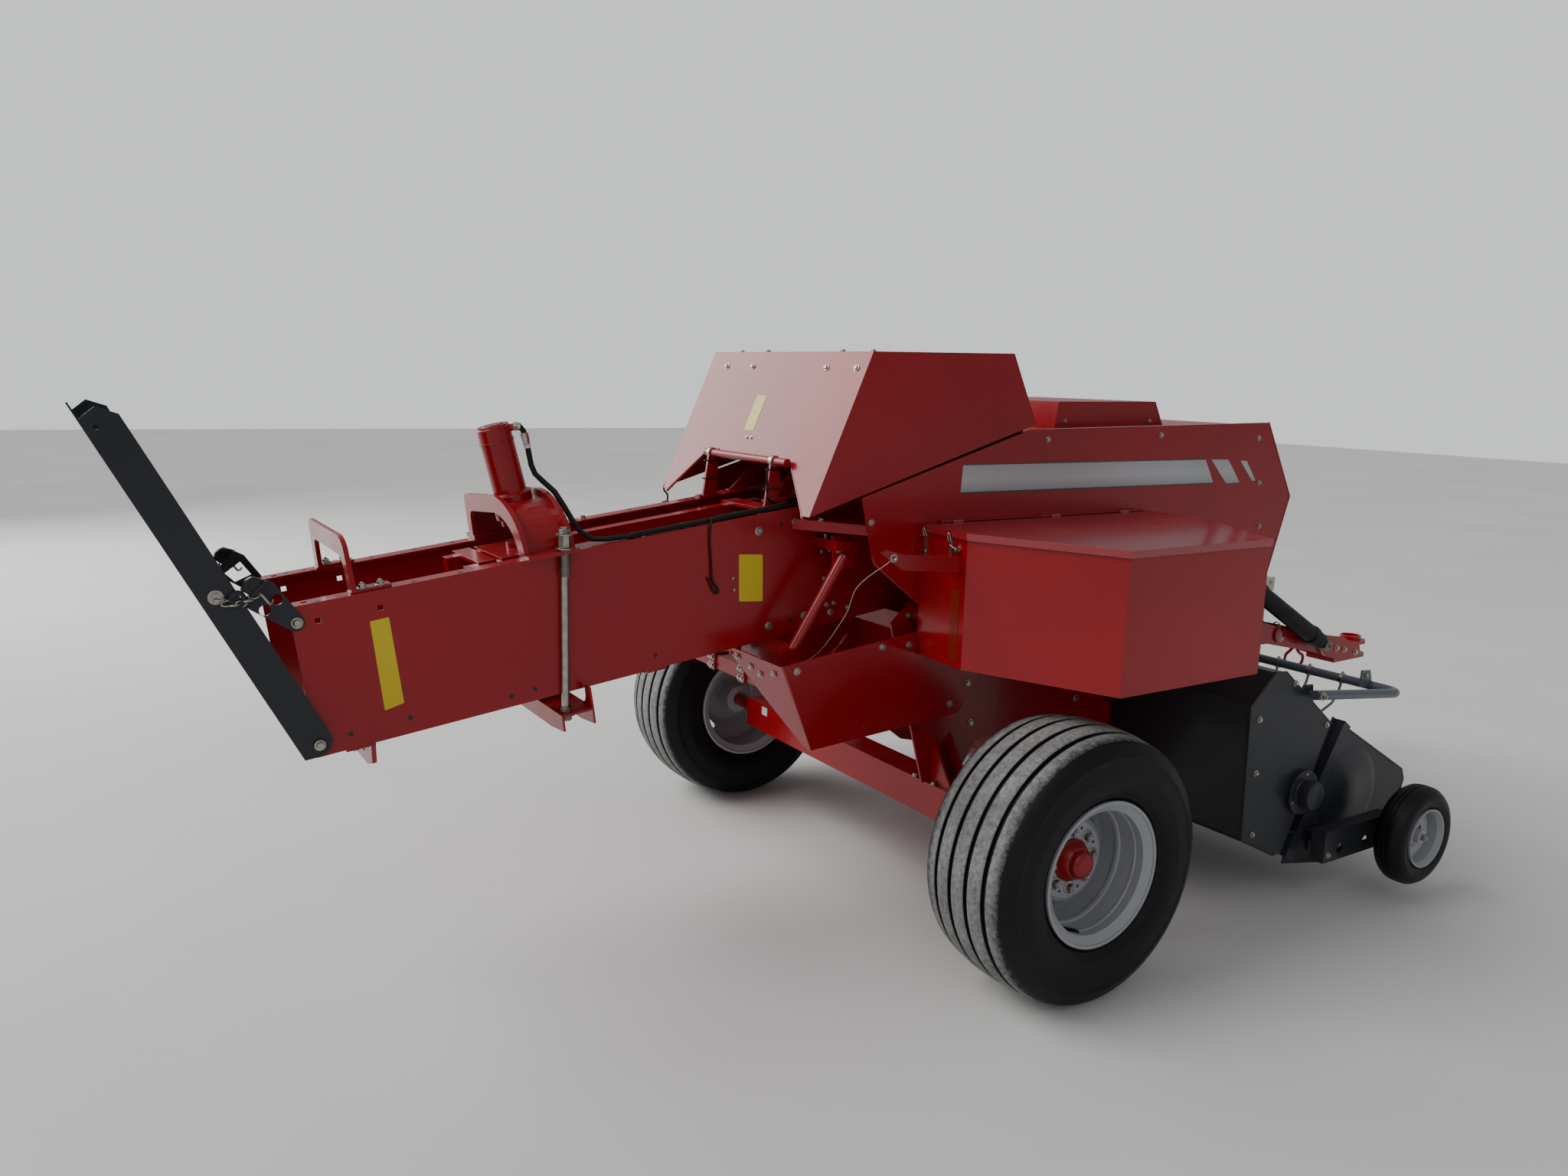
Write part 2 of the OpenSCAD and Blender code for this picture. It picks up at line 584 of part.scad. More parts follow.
// Needle yoke at rest: the beam, its side arms inside the frame plates and the two curved needles
module needle_yoke() color("firebrick") at_axle() {
    translate([-560, -frame_in, 772]) cube([52, 2 * frame_in, 46]);
    both() {
        slab(frame_in - 12, 12) polygon([[-560, 772], [-508, 772], [-170, 846], [-130, 900], [-190, 930], [-560, 818]]);
        slab(88, 14) polygon(concat(arc(-250, 990, 300, 300, 218, 326, 12), [[20, 850]],
            reversed(arc(-250, 990, 274, 274, 216, 324, 12))));
        // Clamp of each needle on the beam
        translate([-566, 76, 766]) cube([64, 38, 58]);
    }
}

// Bale chute, stored upright, drawn in its own axes: length along +X, depth along Z
module chute() color("dimgray") on_chamber() translate([chute_s, 0, chute_z])
    rotate([0, -(chute_lean - chamber_slope), 0]) {
        both() difference() {
            slab(chute_half - 6, 6) polygon([[-16, 47], [901, 45], [911, 2], [877, -31], [38, -34], [-8, -32],
                [-24, -16], [-30, 8]]);
            pin(0, 0, chute_half - 20, 40, 20 + 2 * run);
            pin(chain_at[0], chain_at[1], chute_half - 20, 40, 18);
            pin(872, 22, chute_half - 20, 40, 11);
        }
        // Floor, on the side away from the chamber
        translate([56, -chute_half + 1, 41]) cube([chute_len - 20, 2 * chute_half - 2, 4]);
    }
module chute_pins() both() pin(chute_s, chute_z, half_w - channel_t - 2, chute_half - half_w + channel_t + 8, 20);
module chute_hangers() color("dimgray") {
    on_chamber() {
        chute_pins();
        both() pin(hanger_s, hanger_z, half_w - 6, 18, 16);
    }
    at_axle() {
        difference() {
            hanger();
            slab(half_w - 1, 20) polygon([[-1972, 1158], [-1933, 1187], [-1907, 1151], [-1948, 1133]]);
        }
        mirror([0, 1, 0]) difference() {
            hanger();
            pin(-1918, 1166, half_w - 1, 20, 26);
            pin(-1946, 1142, half_w - 1, 20, 26);
        }
    }
}
// Hanger plate with its folded end, on the left
hanger_at = [-chamber_back + hanger_s * cos(chamber_slope) - hanger_z * sin(chamber_slope),
    chamber_low + hanger_s * sin(chamber_slope) + hanger_z * cos(chamber_slope)];
module hanger() {
    slab(half_w + seat, 6) polygon(concat(arc(hanger_at[0], hanger_at[1], 21, 21, -115, 45, 5),
        [[-1922, 1204], [-1944, 1216], [-1996, 1165], [-1980, 1148]]));
    slab(half_w + seat, 30) polygon([[-1944, 1216], [-1949, 1213], [-1978, 1185], [-1976, 1179], [-1942, 1210]]);
}

// Drawbar
// Stowed drive shaft: bell end behind the front panel, and its free end beside the tongue
shaft_a = [1600, 0, 1120];
shaft_b = [2436, -115, 597];
module tongue() color("firebrick") at_axle() {
    difference() {
        slab(-tongue_w / 2, tongue_w) polygon([[725, 952], [725, 1015], [860, 1018], [1175, 936], [1350, 912],
            [1500, 908], [1640, 900], [1850, 815], [2060, 712], [2230, 668], [2560, 600], [2560, 512], [2043, 623],
            [1850, 712], [1640, 815], [1450, 852], [1250, 864]]);
        slab(-tongue_w / 2 + 8, tongue_w - 16) polygon([[1290, 908], [1400, 900], [1636, 890], [1846, 805],
            [2056, 702], [2228, 658], [2570, 588], [2570, 522], [2047, 633], [1854, 722], [1644, 825], [1454, 862], [1290, 870]]);
    }
    // Ring for the safety chain, under the tongue
    swept(concat([[2372, -30, 552]], [for (a = [95:17:265]) [2354 + 30 * cos(a), -30, 510 + 28 * sin(a)]],
        [for (a = [-85:17:85]) [2430 + 30 * cos(a), -30, 494 + 28 * sin(a)]], [[2412, -30, 540]]), 14, 10);
    // Cross members between the frame plates
    translate([720, -frame_in, 890]) cube([70, 2 * frame_in, 63]);
    translate([1275, -frame_in, 938]) cube([70, 2 * frame_in, 62]);
    translate([1275, -tongue_w / 2, 905]) cube([70, tongue_w, 34]);
    // Rest of the stowed drive shaft
    difference() {
        translate([2376, -100, 596]) cube([26, 100 - tongue_w / 2 + 1, 24]);
        bar(shaft_a, shaft_b, shaft_d + 2 * seat);
    }
    // Round reflector
    pin(2217, 638, -tongue_w / 2 - 6, 7, 78);
    // Bracket that carries the jack
    translate([2280, tongue_w / 2 - 1, 560]) cube([80, jack_y - jack_d / 2 - tongue_w / 2 + 1 - seat, 90]);
}
module hitch_head() color("firebrick") at_axle() difference() {
    union() {
        both() slab(tongue_w / 2 + seat, 12) polygon([[2492, 556], [2566, 602], [2703, 577], [2772, 545],
            [2828, 545], [2842, 500], [2806, 480], [2699, 465], [2570, 502]]);
        for (z = [463, 525]) translate([0, 0, z]) linear_extrude(16) polygon(concat([[2640, -71], [2640, 71]],
            arc(hitch_x, 0, 66, 66, 70, -70, 8)));
        translate([2640, -71, 478]) cube([16, 142, 48]);
        translate([hitch_x, 0, 540]) cylinder(h = 20, d = 92);
    }
    translate([hitch_x, 0, 541]) cylinder(h = 20, d = 76);
    translate([hitch_x, 0, 400]) cylinder(h = 300, d = hitch_bore);
}
module jack_tube() color("tan") at_axle() difference() {
    union() {
        translate([jack_x, jack_y, 290]) cylinder(h = jack_top - 290, d = jack_d);
        translate([jack_x - 44, jack_y - 36, jack_top - 1]) cube([96, 72, 62]);
    }
    translate([jack_x, jack_y, 200]) cylinder(h = jack_top - 210, d = jack_d - 8);
}
module jack_leg() color("silver") at_axle() translate([jack_x, jack_y, 0]) {
    cylinder(h = 12, d = 150);
    translate([0, 0, 11]) cylinder(h = 540, d = jack_d - 8 - 2 * run);
}
module gearbox() color("dimgray") at_axle() {
    translate([1262, -150, 1000 + seat]) cube([112, 300, 424]);
    translate([1373, 0, drive_z]) rotate([0, 90, 0]) cylinder(h = 110, d = 50);
}
module flywheel() color("firebrick") at_axle() translate([fly_x, 0, drive_z]) rotate([0, 90, 0]) difference() {
    union() {
        difference() {
            cylinder(h = 76, d = flywheel_d);
            translate([0, 0, 20]) cylinder(h = 60, d = flywheel_d - 90);
            translate([0, 0, -1]) cylinder(h = 10, d = flywheel_d - 110);
            for (a = [30:60:330]) rotate(a) translate([flywheel_d / 2 - 110, 0, -1]) cylinder(h = 60, d = 60);
        }
        cylinder(h = 76, d = 120);
    }
    translate([0, 0, -1]) cylinder(h = 96, d = 50 + 2 * run);
}
module drive_shaft() color("black") at_axle() {
    way = (shaft_b - shaft_a) / norm(shaft_b - shaft_a);
    bar(shaft_a, shaft_b, shaft_d);
    // Bell over the joint, the joint itself, and the fork at the free end
    bar(shaft_a - 24 * way, shaft_a + 70 * way, 150);
    translate([1483 + seat, 0, drive_z]) rotate([0, 90, 0]) cylinder(h = 110, d = 64);
    bar(shaft_b - 2 * way, shaft_b + 22 * way, 58);
}

// Pickup
cover_side = [[765, 735], [874, 830], [930, 825], [1200, 620], [1122, 463], [990, 205], [956, 205], [782, 289]];
reel_side = concat([[1270, 618]], arc(1698, 322, 52, 52, 52, -25, 5), [[1600, 170], [1360, 86], [1070, 140], [1110, 400]]);
reel_half = pickup_half - 36;
module pickup_frame() color("dimgray") at_axle() difference() {
    union() {
        both() {
            slab(pickup_half, 6) polygon(cover_side);
            slab(reel_half, 6) polygon(reel_side);
            // Back, top and sloping edge of the auger cover
            slab(frame_half + 10, pickup_half - frame_half - 9) {
                sheet([[850, 264], [784, 292], [765, 735]], [8, 0]);
                sheet([[765, 737], [874, 830], [930, 825]], [0, -8]);
            }
            slab(reel_half, 37) sheet([[925, 825], [1200, 620]], [0, -8]);
            // Lugs that the wind guard hangs on
            slab(pickup_half, 6) polygon([[1010, 756], [1040, 770], [1076, 768], [1090, 700], [1010, 700]]);
            // Brace between the outer and the inner plates
            slab(reel_half + 5, 32) polygon([[1325, 588], [1290, 613], [1033, 182], [1071, 160]]);
            // Lift lugs
            slab(frame_half + 10, 12) polygon([[705, 650], [705, 735], [771, 765], [874, 826], [920, 780], [780, 600]]);
            // Bearing housing and domed cap of the auger
            pin(auger_x, auger_z, pickup_half - 1, 20, 150);
            pin(auger_x, auger_z, pickup_half + 18, 46, 92);
            // Arm of the gauge wheel, a channel open to the inside
            slab(pickup_half + 80, 5) gauge_arm();
            slab(pickup_half + 36, 45) difference() {
                gauge_arm();
                offset(delta = -6) gauge_arm();
            }
            pin(1160, 232, reel_half + 1, pickup_half + 81 - reel_half, 40);
            pin(gauge_x, gauge_z, pickup_half + 40, gauge_y - pickup_half - 22, 25);
        }
        // Tube that ties the two sides, and the floor behind the reel
        translate([876, -pickup_half - 1, 762]) cube([50, 2 * pickup_half + 2, 50]);
        slab(-pickup_half - 1, 2 * pickup_half + 2)
            sheet([[842, 264], [930, 268], [1054, 268], [1204, 213]], [0, -6]);
    }
    both() {
        pin(lift_x, lift_z, frame_half, 60, 40 + 2 * run);
        pin(guard_pivot_x, guard_pivot_z, pickup_half - 10, 40, 20 + 2 * run);
        pin(auger_x, auger_z, pickup_half - 50, 80, 40 + 2 * run);
        pin(reel_x, reel_z, reel_half - 10, 60, 40 + 2 * run);
        for (x = [1200, 1345]) pin(x, 208, pickup_half + 60, 60, 34);
    }
}
module gauge_arm() polygon([[1112, 170], [1112, 278], [gauge_x + 16, 278], [gauge_x + 40, 240],
    [gauge_x + 16, 170]]);
bands = tines + 1;
band_pitch = 2 * (pickup_half - 70) / (bands - 1);
band_r = 172;
band_w = 34;
band_open = 95;
// Cross bars of the bands, outside the sweep of the tines, and the height at which each band ends
band_tie = (tine_r + 12) * sqrt(0.5);
band_end = sqrt(band_r * band_r - band_open * band_open);
module pickup_bands() color("dimgray") at_axle() translate([reel_x, 0, reel_z]) {
    // Stripper bands round the reel, between the tines, on two cross bars
    for (i = [0:bands - 1]) translate([0, -pickup_half + 70 + i * band_pitch - band_w / 2, 0]) rotate([-90, 0, 0])
        difference() {
            cylinder(h = band_w, r = band_r);
            translate([0, 0, -1]) cylinder(h = band_w + 2, r = band_r - 3);
            translate([-band_r - 1, -band_r - 1, -1]) cube([band_r + 1 - band_open, 2 * band_r + 2, band_w + 2]);
        }
    for (k = [0, 1]) mirror([0, 0, k]) {
        translate([-band_tie - 36, -reel_half + seat, band_tie]) cube([36, 2 * (reel_half - seat), 8]);
        // Tail of each band, up to its cross bar
        for (i = [0:bands - 1]) slab(-pickup_half + 70 + i * band_pitch - band_w / 2, band_w)
            polygon([[1 - band_open, band_end - 3.5], [1 - band_open, band_end], [-band_tie - 2, band_tie + 6],
                [-band_tie - 2, band_tie + 2]]);
    }
}
bar_r = 118;
spider_half = pickup_half - 70 - band_pitch / 2;
module pickup_reel() color("silver") at_axle() translate([reel_x, 0, reel_z]) {
    pin(0, 0, -reel_half - 6, 2 * reel_half + 12, 40);
    for (i = [0:tine_bars - 1]) rotate([0, 360 / tine_bars * i, 0]) {
        pin(bar_r, 0, -spider_half - 20, 2 * spider_half + 40, 30);
        for (j = [0:tines - 1]) {
            y = -pickup_half + 70 + (j + 0.5) * band_pitch;
            translate([bar_r, y, 0]) rotate([0, 78, 0]) cylinder(h = tine_r - bar_r - 2, d = 8, $fn = 6);
        }
    }
    // Spider plates
    for (y = [-spider_half + 12, -3, spider_half - 18]) translate([0, y, 0]) rotate([-90, 0, 0]) difference() {
        cylinder(h = 6, r = bar_r + 16);
        for (i = [0:tine_bars - 1]) rotate(360 / tine_bars * (i + 0.5)) translate([78, 0, -1]) cylinder(h = 8, d = 62);
    }
}
flight_turns = 2.2;
flight_len = 500;
module flight(hand) translate([0, 0, 0]) rotate([-90, 0, 0])
    linear_extrude(height = flight_len, twist = 360 * flight_turns * hand, slices = 60)
        translate([45 + seat, -6]) square([auger_d / 2 - 45 - seat, 12]);
module auger() color("silver") at_axle() translate([auger_x, 0, auger_z]) {
    pin(0, 0, -pickup_half - 10, 2 * pickup_half + 20, 40);
    pin(0, 0, -pickup_half + 20, 2 * pickup_half - 40, 90);
    both() translate([0, reel_half - 8 - flight_len, 0]) flight(1);
    // Paddles that feed the middle
    for (a = [0:90:270], y = [-300, -60, 180]) rotate([0, a + y / 4, 0])
        translate([40, y, -3]) cube([auger_d / 2 - 42, 120, 6]);
}
arm_y = pickup_half + 20 + guard_d / 2;
guard_bend = 60;
guard_tines = 13;
function guard_at(t) = [guard_pivot_x + t * (guard_x - guard_pivot_x), guard_pivot_z + t * (guard_z - guard_pivot_z)];
guard_corner = [for (a = [0:15:90]) [guard_x - guard_bend * (1 - sin(a)), arm_y - guard_bend * (1 - cos(a))]];
function guard_rise(x) = guard_pivot_z + (x - guard_pivot_x) / (guard_x - guard_pivot_x) * (guard_z - guard_pivot_z);
guard_half = concat([[guard_pivot_x - 16, arm_y]], guard_corner);
guard_route = concat([for (p = guard_half) [p[0], p[1], guard_rise(p[0])]],
    [for (p = reversed(guard_half)) [p[0], -p[1], guard_rise(p[0])]]);
tine_path = [[guard_x, guard_z], [guard_x - 16, 640], [guard_x - 50, 600], [1448, 580], [1340, 584], [1240, 604]];
module wind_guard() color("dimgray") at_axle() {
    swept(guard_route, guard_d, 16);
    both() pin(guard_pivot_x, guard_pivot_z, pickup_half - 8, arm_y - pickup_half + 8, 20);
    // Tines that hang from the tube and reach back over the reel
    for (i = [0:guard_tines - 1])
        swept([for (p = tine_path) [p[0], -780 + i * 1560 / (guard_tines - 1), p[1]]], 9, 8);
    // Brackets on the tube
    both() difference() {
        slab(880, 6) polygon([[guard_x - 62, guard_z], [guard_x - 58, guard_z + 60], [guard_x - 8, guard_z + 56],
            [guard_x + 10, guard_z]]);
        pin(guard_x - 33, guard_z + 40, 870, 30, 14);
    }
}
gauge_rim = 101;
gauge_bead = gauge_w / 2 - 7;
module gauge_tyre(side) color("dimgray") at_axle() translate([gauge_x, side * gauge_y, gauge_z])
    rotate([90, 0, 0]) rotate_extrude($fn = 32) polygon([[gauge_rim - 7.2, -gauge_bead + 7], [gauge_rim + 0.5, -gauge_bead],
        [gauge_rim + 12, -gauge_w / 2], [gauge_rim + 34, -gauge_w / 2 - 2], [gauge_d / 2 - 10, -gauge_w / 2 + 9],
        [gauge_d / 2, -gauge_w / 2 + 26], [gauge_d / 2, gauge_w / 2 - 26], [gauge_d / 2 - 10, gauge_w / 2 - 9],
        [gauge_rim + 34, gauge_w / 2 + 2], [gauge_rim + 12, gauge_w / 2], [gauge_rim + 0.5, gauge_bead],
        [gauge_rim - 7.2, gauge_bead - 7]]);
module gauge_tyre_right() gauge_tyre(-1);
module gauge_tyre_left() gauge_tyre(1);
module gauge_wheel(side) color("lightgray") at_axle() translate([gauge_x, side * gauge_y, gauge_z])
    rotate([-90 * side, 0, 0]) difference() {
        union() {
            rotate_extrude() polygon([[gauge_rim, gauge_bead + 8], [gauge_rim, gauge_bead + 1], [gauge_rim - 7.5, gauge_bead - 6],
                [gauge_rim - 7.5, -gauge_bead + 6], [gauge_rim, -gauge_bead - 1], [gauge_rim, -gauge_bead - 8],
                [gauge_rim - 5, -gauge_bead - 8], [gauge_rim - 13, -gauge_bead + 8], [gauge_rim - 13, gauge_bead - 8],
                [gauge_rim - 5, gauge_bead + 8]]);
            translate([0, 0, -4]) cylinder(h = 6, r = gauge_rim - 12);
            translate([0, 0, -36]) cylinder(h = 68, d = 46);
        }
        translate([0, 0, -37]) cylinder(h = 62, d = 25 + 2 * run);
    }
module gauge_wheel_right() gauge_wheel(-1);
module gauge_wheel_left() gauge_wheel(1);
module feed_pan() color("firebrick") at_axle() slab(-frame_half + frame_t + seat, 2 * (frame_half - frame_t - seat))
    polygon(concat([[250, 980]], arc(810, 800, 560, 560, 180, 268, 12),
        reversed(arc(810, 800, 566, 566, 180, 268, 12)), [[244, 980]]));

// Along the chamber, across and square to it: from the port over the yoke, then along the right flange to the pump
hose_d = 16;
hose_low = chamber_h + hose_d / 2 + seat;
hose_points = [[686.5, -26, 711.6], [697, -31, 709], [703, -34, 698], [707, -36, 670], [708, -40, 635], [708, -46, 603],
    [713, -53, 578], [728, -62, 557], [750, -85, 525], [761, -112, 486], [770, -140, 446], [781, -165, 414],
    [800, -190, 396], [835, -206, hose_low + 1], [900, -221, hose_low], [1250, -222, hose_low],
    [channel_len + 29.5, -221, hose_low]];
module density_hose() color("black") on_chamber() swept(hose_points, hose_d, 10);

chamber_channels();
chamber_case();
chamber_bands();
top_rails();
density_yoke();
density_barrel();
density_ram();
tie_rods();
frame_plate_right();
frame_plate_left();
axle();
tyre_right();
tyre_left();
wheel_right();
wheel_left();
shield_right();
shield_left();
top_deck();
knotter_frame();
hood();
twine_box_right();
twine_box_left();
twine_lid_right();
twine_lid_left();
needle_yoke();
needle_guard();
chute();
chute_hangers();
tongue();
hitch_head();
jack_tube();
jack_leg();
gearbox();
flywheel();
drive_shaft();
pickup_frame();
pickup_bands();
pickup_reel();
auger();
wind_guard();
gauge_tyre_right();
gauge_tyre_left();
gauge_wheel_right();
gauge_wheel_left();
feed_pan();
density_hose();
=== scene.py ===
import bpy
import bmesh
import json
import math
import random
from functools import partial
from mathutils import Matrix, Vector


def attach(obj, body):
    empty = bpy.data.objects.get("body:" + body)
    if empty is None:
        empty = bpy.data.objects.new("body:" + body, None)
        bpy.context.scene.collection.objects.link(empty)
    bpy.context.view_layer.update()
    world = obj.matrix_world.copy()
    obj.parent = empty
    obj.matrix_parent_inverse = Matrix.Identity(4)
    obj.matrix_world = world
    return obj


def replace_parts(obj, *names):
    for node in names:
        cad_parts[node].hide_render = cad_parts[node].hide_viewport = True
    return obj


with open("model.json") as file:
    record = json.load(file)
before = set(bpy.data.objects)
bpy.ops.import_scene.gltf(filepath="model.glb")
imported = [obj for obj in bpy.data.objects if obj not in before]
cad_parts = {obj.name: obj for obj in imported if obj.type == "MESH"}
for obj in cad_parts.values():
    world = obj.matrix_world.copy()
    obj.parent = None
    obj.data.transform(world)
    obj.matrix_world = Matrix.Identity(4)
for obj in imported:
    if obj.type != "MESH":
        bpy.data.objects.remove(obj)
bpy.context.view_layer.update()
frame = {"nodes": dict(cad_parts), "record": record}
NODES = frame["nodes"]
scene = bpy.context.scene
rng = random.Random(7)

# Places are written in millimetres from the axle, as in the part's source, or along the bale chamber.
AXLE_X = -315.0
SLOPE = math.radians(7.4)
CHAMBER_BACK, CHAMBER_LOW, CHAMBER_H, HALF_W = 1845.0, 764.0, 382.0, 234.0
TYRE_R, HALF_TRACK = 393.5, 949.0
ROOT = "frame_body"
TIE_BACK, HOOD_TOP = 1206.0, 1790.0
HOOD_BACK = -366.0
DECK_BOX_HALF = 300.0
AUGER_X, AUGER_Z = 1064.0, 406.0
PICKUP_HALF, BANDS, TINE_BARS = 965.0, 25, 4
GUARD_X, GUARD_Z, GUARD_D = 1552.0, 686.0, 32.0
TINE_R, TIE_GAP = 216.0, 12.0
BAND_TIE = (TINE_R + TIE_GAP) * math.sqrt(0.5)
BAND_EDGE = PICKUP_HALF - 70
BAND_STEP = 2 * BAND_EDGE / (BANDS - 1)
JACK_D, SHAFT_D = 57.0, 78.0
SHIELD_Y = 456.0
REEL_X, REEL_Z = 1400.0, 330.0
GUARD_TINES, TINE_STEP, TINE_EDGE = 13, 130.0, 780.0


def at(x, y, z):
    """A point given in millimetres from the axle, in the frame's metres."""
    return Vector(((x + AXLE_X) / 1000, y / 1000, z / 1000))


def in_plane(y, spots):
    """Points of a plane across the machine, from (x, z) pairs."""
    return [at(x, y, z) for x, z in spots]


def across(amount):
    return Vector((0, amount, 0))


def around(angle):
    """A unit vector in the plane of the wheels."""
    return Vector((math.cos(angle), 0, math.sin(angle)))


def on_chamber(s, y, z):
    """A point given along the chamber, across it and square to its floor."""
    x = -CHAMBER_BACK + s * math.cos(SLOPE) - z * math.sin(SLOPE)
    return at(x, y, CHAMBER_LOW + s * math.sin(SLOPE) + z * math.cos(SLOPE))


SKYWARD, REARWARD, RIGHT_OUT = Vector((0, 0, 1)), Vector((-1, 0, 0)), across(-1)
BOTH_WAYS = ((-1, RIGHT_OUT), (1, across(1)))
SHAFT_A, SHAFT_B = at(1600, 0, 1120), at(2436, -115, 597)
CHAMBER_ALONG = Vector((math.cos(SLOPE), 0, math.sin(SLOPE)))
CHAMBER_UP = Vector((-math.sin(SLOPE), 0, math.cos(SLOPE)))

# ---------------------------------------------------------------- camera
camera_data = bpy.data.cameras.new("camera")
camera = bpy.data.objects.new("camera", camera_data)
scene.collection.objects.link(camera)
scene.camera = camera
SENSOR_MM, FOCAL_PX, PHOTO_PX = 36.0, 1522.99, 2048.0
CAMERA_AT = Vector((-2.6753, -3.1424, 1.7137))
RIGHT = Vector((0.844978, -0.534229, 0.024724))
UP = Vector((0.075361, 0.164711, 0.983459))
FORWARD = Vector((0.529465, 0.829138, -0.179438))
camera.matrix_world = Matrix((
    (RIGHT.x, UP.x, -FORWARD.x, CAMERA_AT.x),
    (RIGHT.y, UP.y, -FORWARD.y, CAMERA_AT.y),
    (RIGHT.z, UP.z, -FORWARD.z, CAMERA_AT.z),
    (0, 0, 0, 1)))
camera_data.sensor_fit = "HORIZONTAL"
camera_data.sensor_width = SENSOR_MM
camera_data.lens = SENSOR_MM * FOCAL_PX / PHOTO_PX
camera_data.clip_end = 200.0


# ---------------------------------------------------------------- materials
class Graph:
    """A few short ways to build a material's nodes."""

    def __init__(self, name):
        self.mat = bpy.data.materials.new(name)
        self.mat.use_nodes = True
        self.tree = self.mat.node_tree
        self.tree.nodes.clear()
        out = self.node("OutputMaterial")
        self.bsdf = self.node("BsdfPrincipled")
        self.link(self.bsdf.outputs[0], out.inputs[0])
        self.place = self.node("TexCoord").outputs["Object"]
        self.geometry = self.node("NewGeometry")

    def node(self, kind, **inputs):
        n = self.tree.nodes.new("ShaderNode" + kind)
        for name, value in inputs.items():
            self.put(n.inputs[name], value)
        return n

    def link(self, a, b):
        self.tree.links.new(a, b)

    def put(self, socket, value):
        if isinstance(value, bpy.types.NodeSocket):
            self.link(value, socket)
        else:
            socket.default_value = value

    def set(self, name, value):
        self.put(self.bsdf.inputs[name], value)

    def noise(self, scale, detail=3.0, rough=0.55):
        return self.node("TexNoise", Scale=scale, Detail=detail, Roughness=rough, Vector=self.place).outputs[0]

    def ramp(self, value, *stops):
        n = self.node("ValToRGB")
        e = n.color_ramp.elements
        while len(e) < len(stops):
            e.new(0.5)
        for i, (pos, v) in enumerate(stops):
            e[i].position = pos
            e[i].color = (v, v, v, 1) if isinstance(v, (int, float)) else (*v, 1)
        self.link(value, n.inputs[0])
        return n.outputs[0]

    def math(self, op, a, b=0.0, clamp=False):
        n = self.node("Math")
        n.operation = op
        n.use_clamp = clamp
        self.put(n.inputs[0], a)
        self.put(n.inputs[1], b)
        return n.outputs[0]

    def times(self, a, b, clamp=False):
        return self.math("MULTIPLY", a, b, clamp)

    def mix(self, factor, a, b):
        n = self.node("Mix")
        n.data_type = "RGBA"
        self.put(n.inputs[0], factor)
        self.put(n.inputs[6], (*a, 1) if isinstance(a, tuple) else a)
        self.put(n.inputs[7], (*b, 1) if isinstance(b, tuple) else b)
        return n.outputs[2]

    def axis(self, name, vector=None):
        return self.node("SeparateXYZ", Vector=vector or self.place).outputs[name]

    def facing_up(self):
        return self.axis("Z", self.geometry.outputs["Normal"])

    def bump(self, height, strength, distance, normal=None):
        n = self.node("Bump", Strength=strength, Distance=distance, Height=height)
        if normal:
            self.link(normal, n.inputs["Normal"])
        return n.outputs[0]

    def soft_edges(self, radius):
        n = self.node("Bevel", Radius=radius)
        n.samples = 4
        return n.outputs[0]


def dust_mask(g, amount, low=0.0):
    """More on what faces up, broken by noise, and more near the ground where low is given."""
    broken = g.ramp(g.noise(5.0, 6.0, 0.65), (0.36, 0.0), (0.72, 1.0))
    fine = g.ramp(g.noise(90.0, 3.0), (0.3, 0.4), (0.7, 1.0))
    up = g.math("MAXIMUM", g.facing_up(), 0.0)
    mask = g.times(g.math("ADD", up, 0.05), broken)
    if low:
        near = g.math("SUBTRACT", 1.0, g.times(g.axis("Z"), 1.6), clamp=True)
        mask = g.math("ADD", mask, g.times(near, low))
    return g.times(g.times(mask, fine), amount, clamp=True)


DUST = (0.36, 0.31, 0.25)


def painted(name, color, rough=0.34, coat=0.6, dust=0.18, low=0.0, peel=0.05, edge=0.0016, chips=None, fade=False,
            gleam=0.3):
    g = Graph(name)
    tone = g.ramp(g.noise(1.7, 3.0), (0.3, tuple(c * 0.88 for c in color)),
                  (0.7, tuple(min(1, c * 1.1) for c in color)))
    if fade:
        # Paler upwards over the stripe, which starts at a height of 1.371 m
        band = g.ramp(g.times(g.math("SUBTRACT", g.axis("Z"), 1.371), 10.7, clamp=True),
                      (0.0, 0.30), (0.45, 0.95), (1.0, 0.62))
        tone = g.mix(band, tuple(c * 0.45 for c in color), tone)
    mask = dust_mask(g, dust, low)
    shade = g.mix(mask, tone, DUST)
    edges = g.soft_edges(edge)
    if chips:
        dot = g.node("VectorMath")
        dot.operation = "DOT_PRODUCT"
        g.link(edges, dot.inputs[0])
        g.link(g.geometry.outputs["Normal"], dot.inputs[1])
        bent = g.ramp(dot.outputs["Value"], (0.80, 1.0), (0.96, 0.0))
        spots = g.ramp(g.noise(60.0, 4.0, 0.7), (0.56, 0.0), (0.62, 1.0))
        shade = g.mix(g.times(bent, spots), shade, chips)
    g.set("Base Color", shade)
    g.set("Roughness", g.math("ADD", g.times(g.noise(7.0, 4.0), 0.16),
                              g.math("ADD", g.times(mask, 0.5), rough - 0.08), clamp=True))
    g.set("Specular IOR Level", gleam)
    g.set("Coat Weight", coat)
    g.set("Coat Roughness", 0.12)
    g.set("Normal", g.bump(g.noise(260.0, 2.0), peel, 0.0004, edges))
    return g.mat


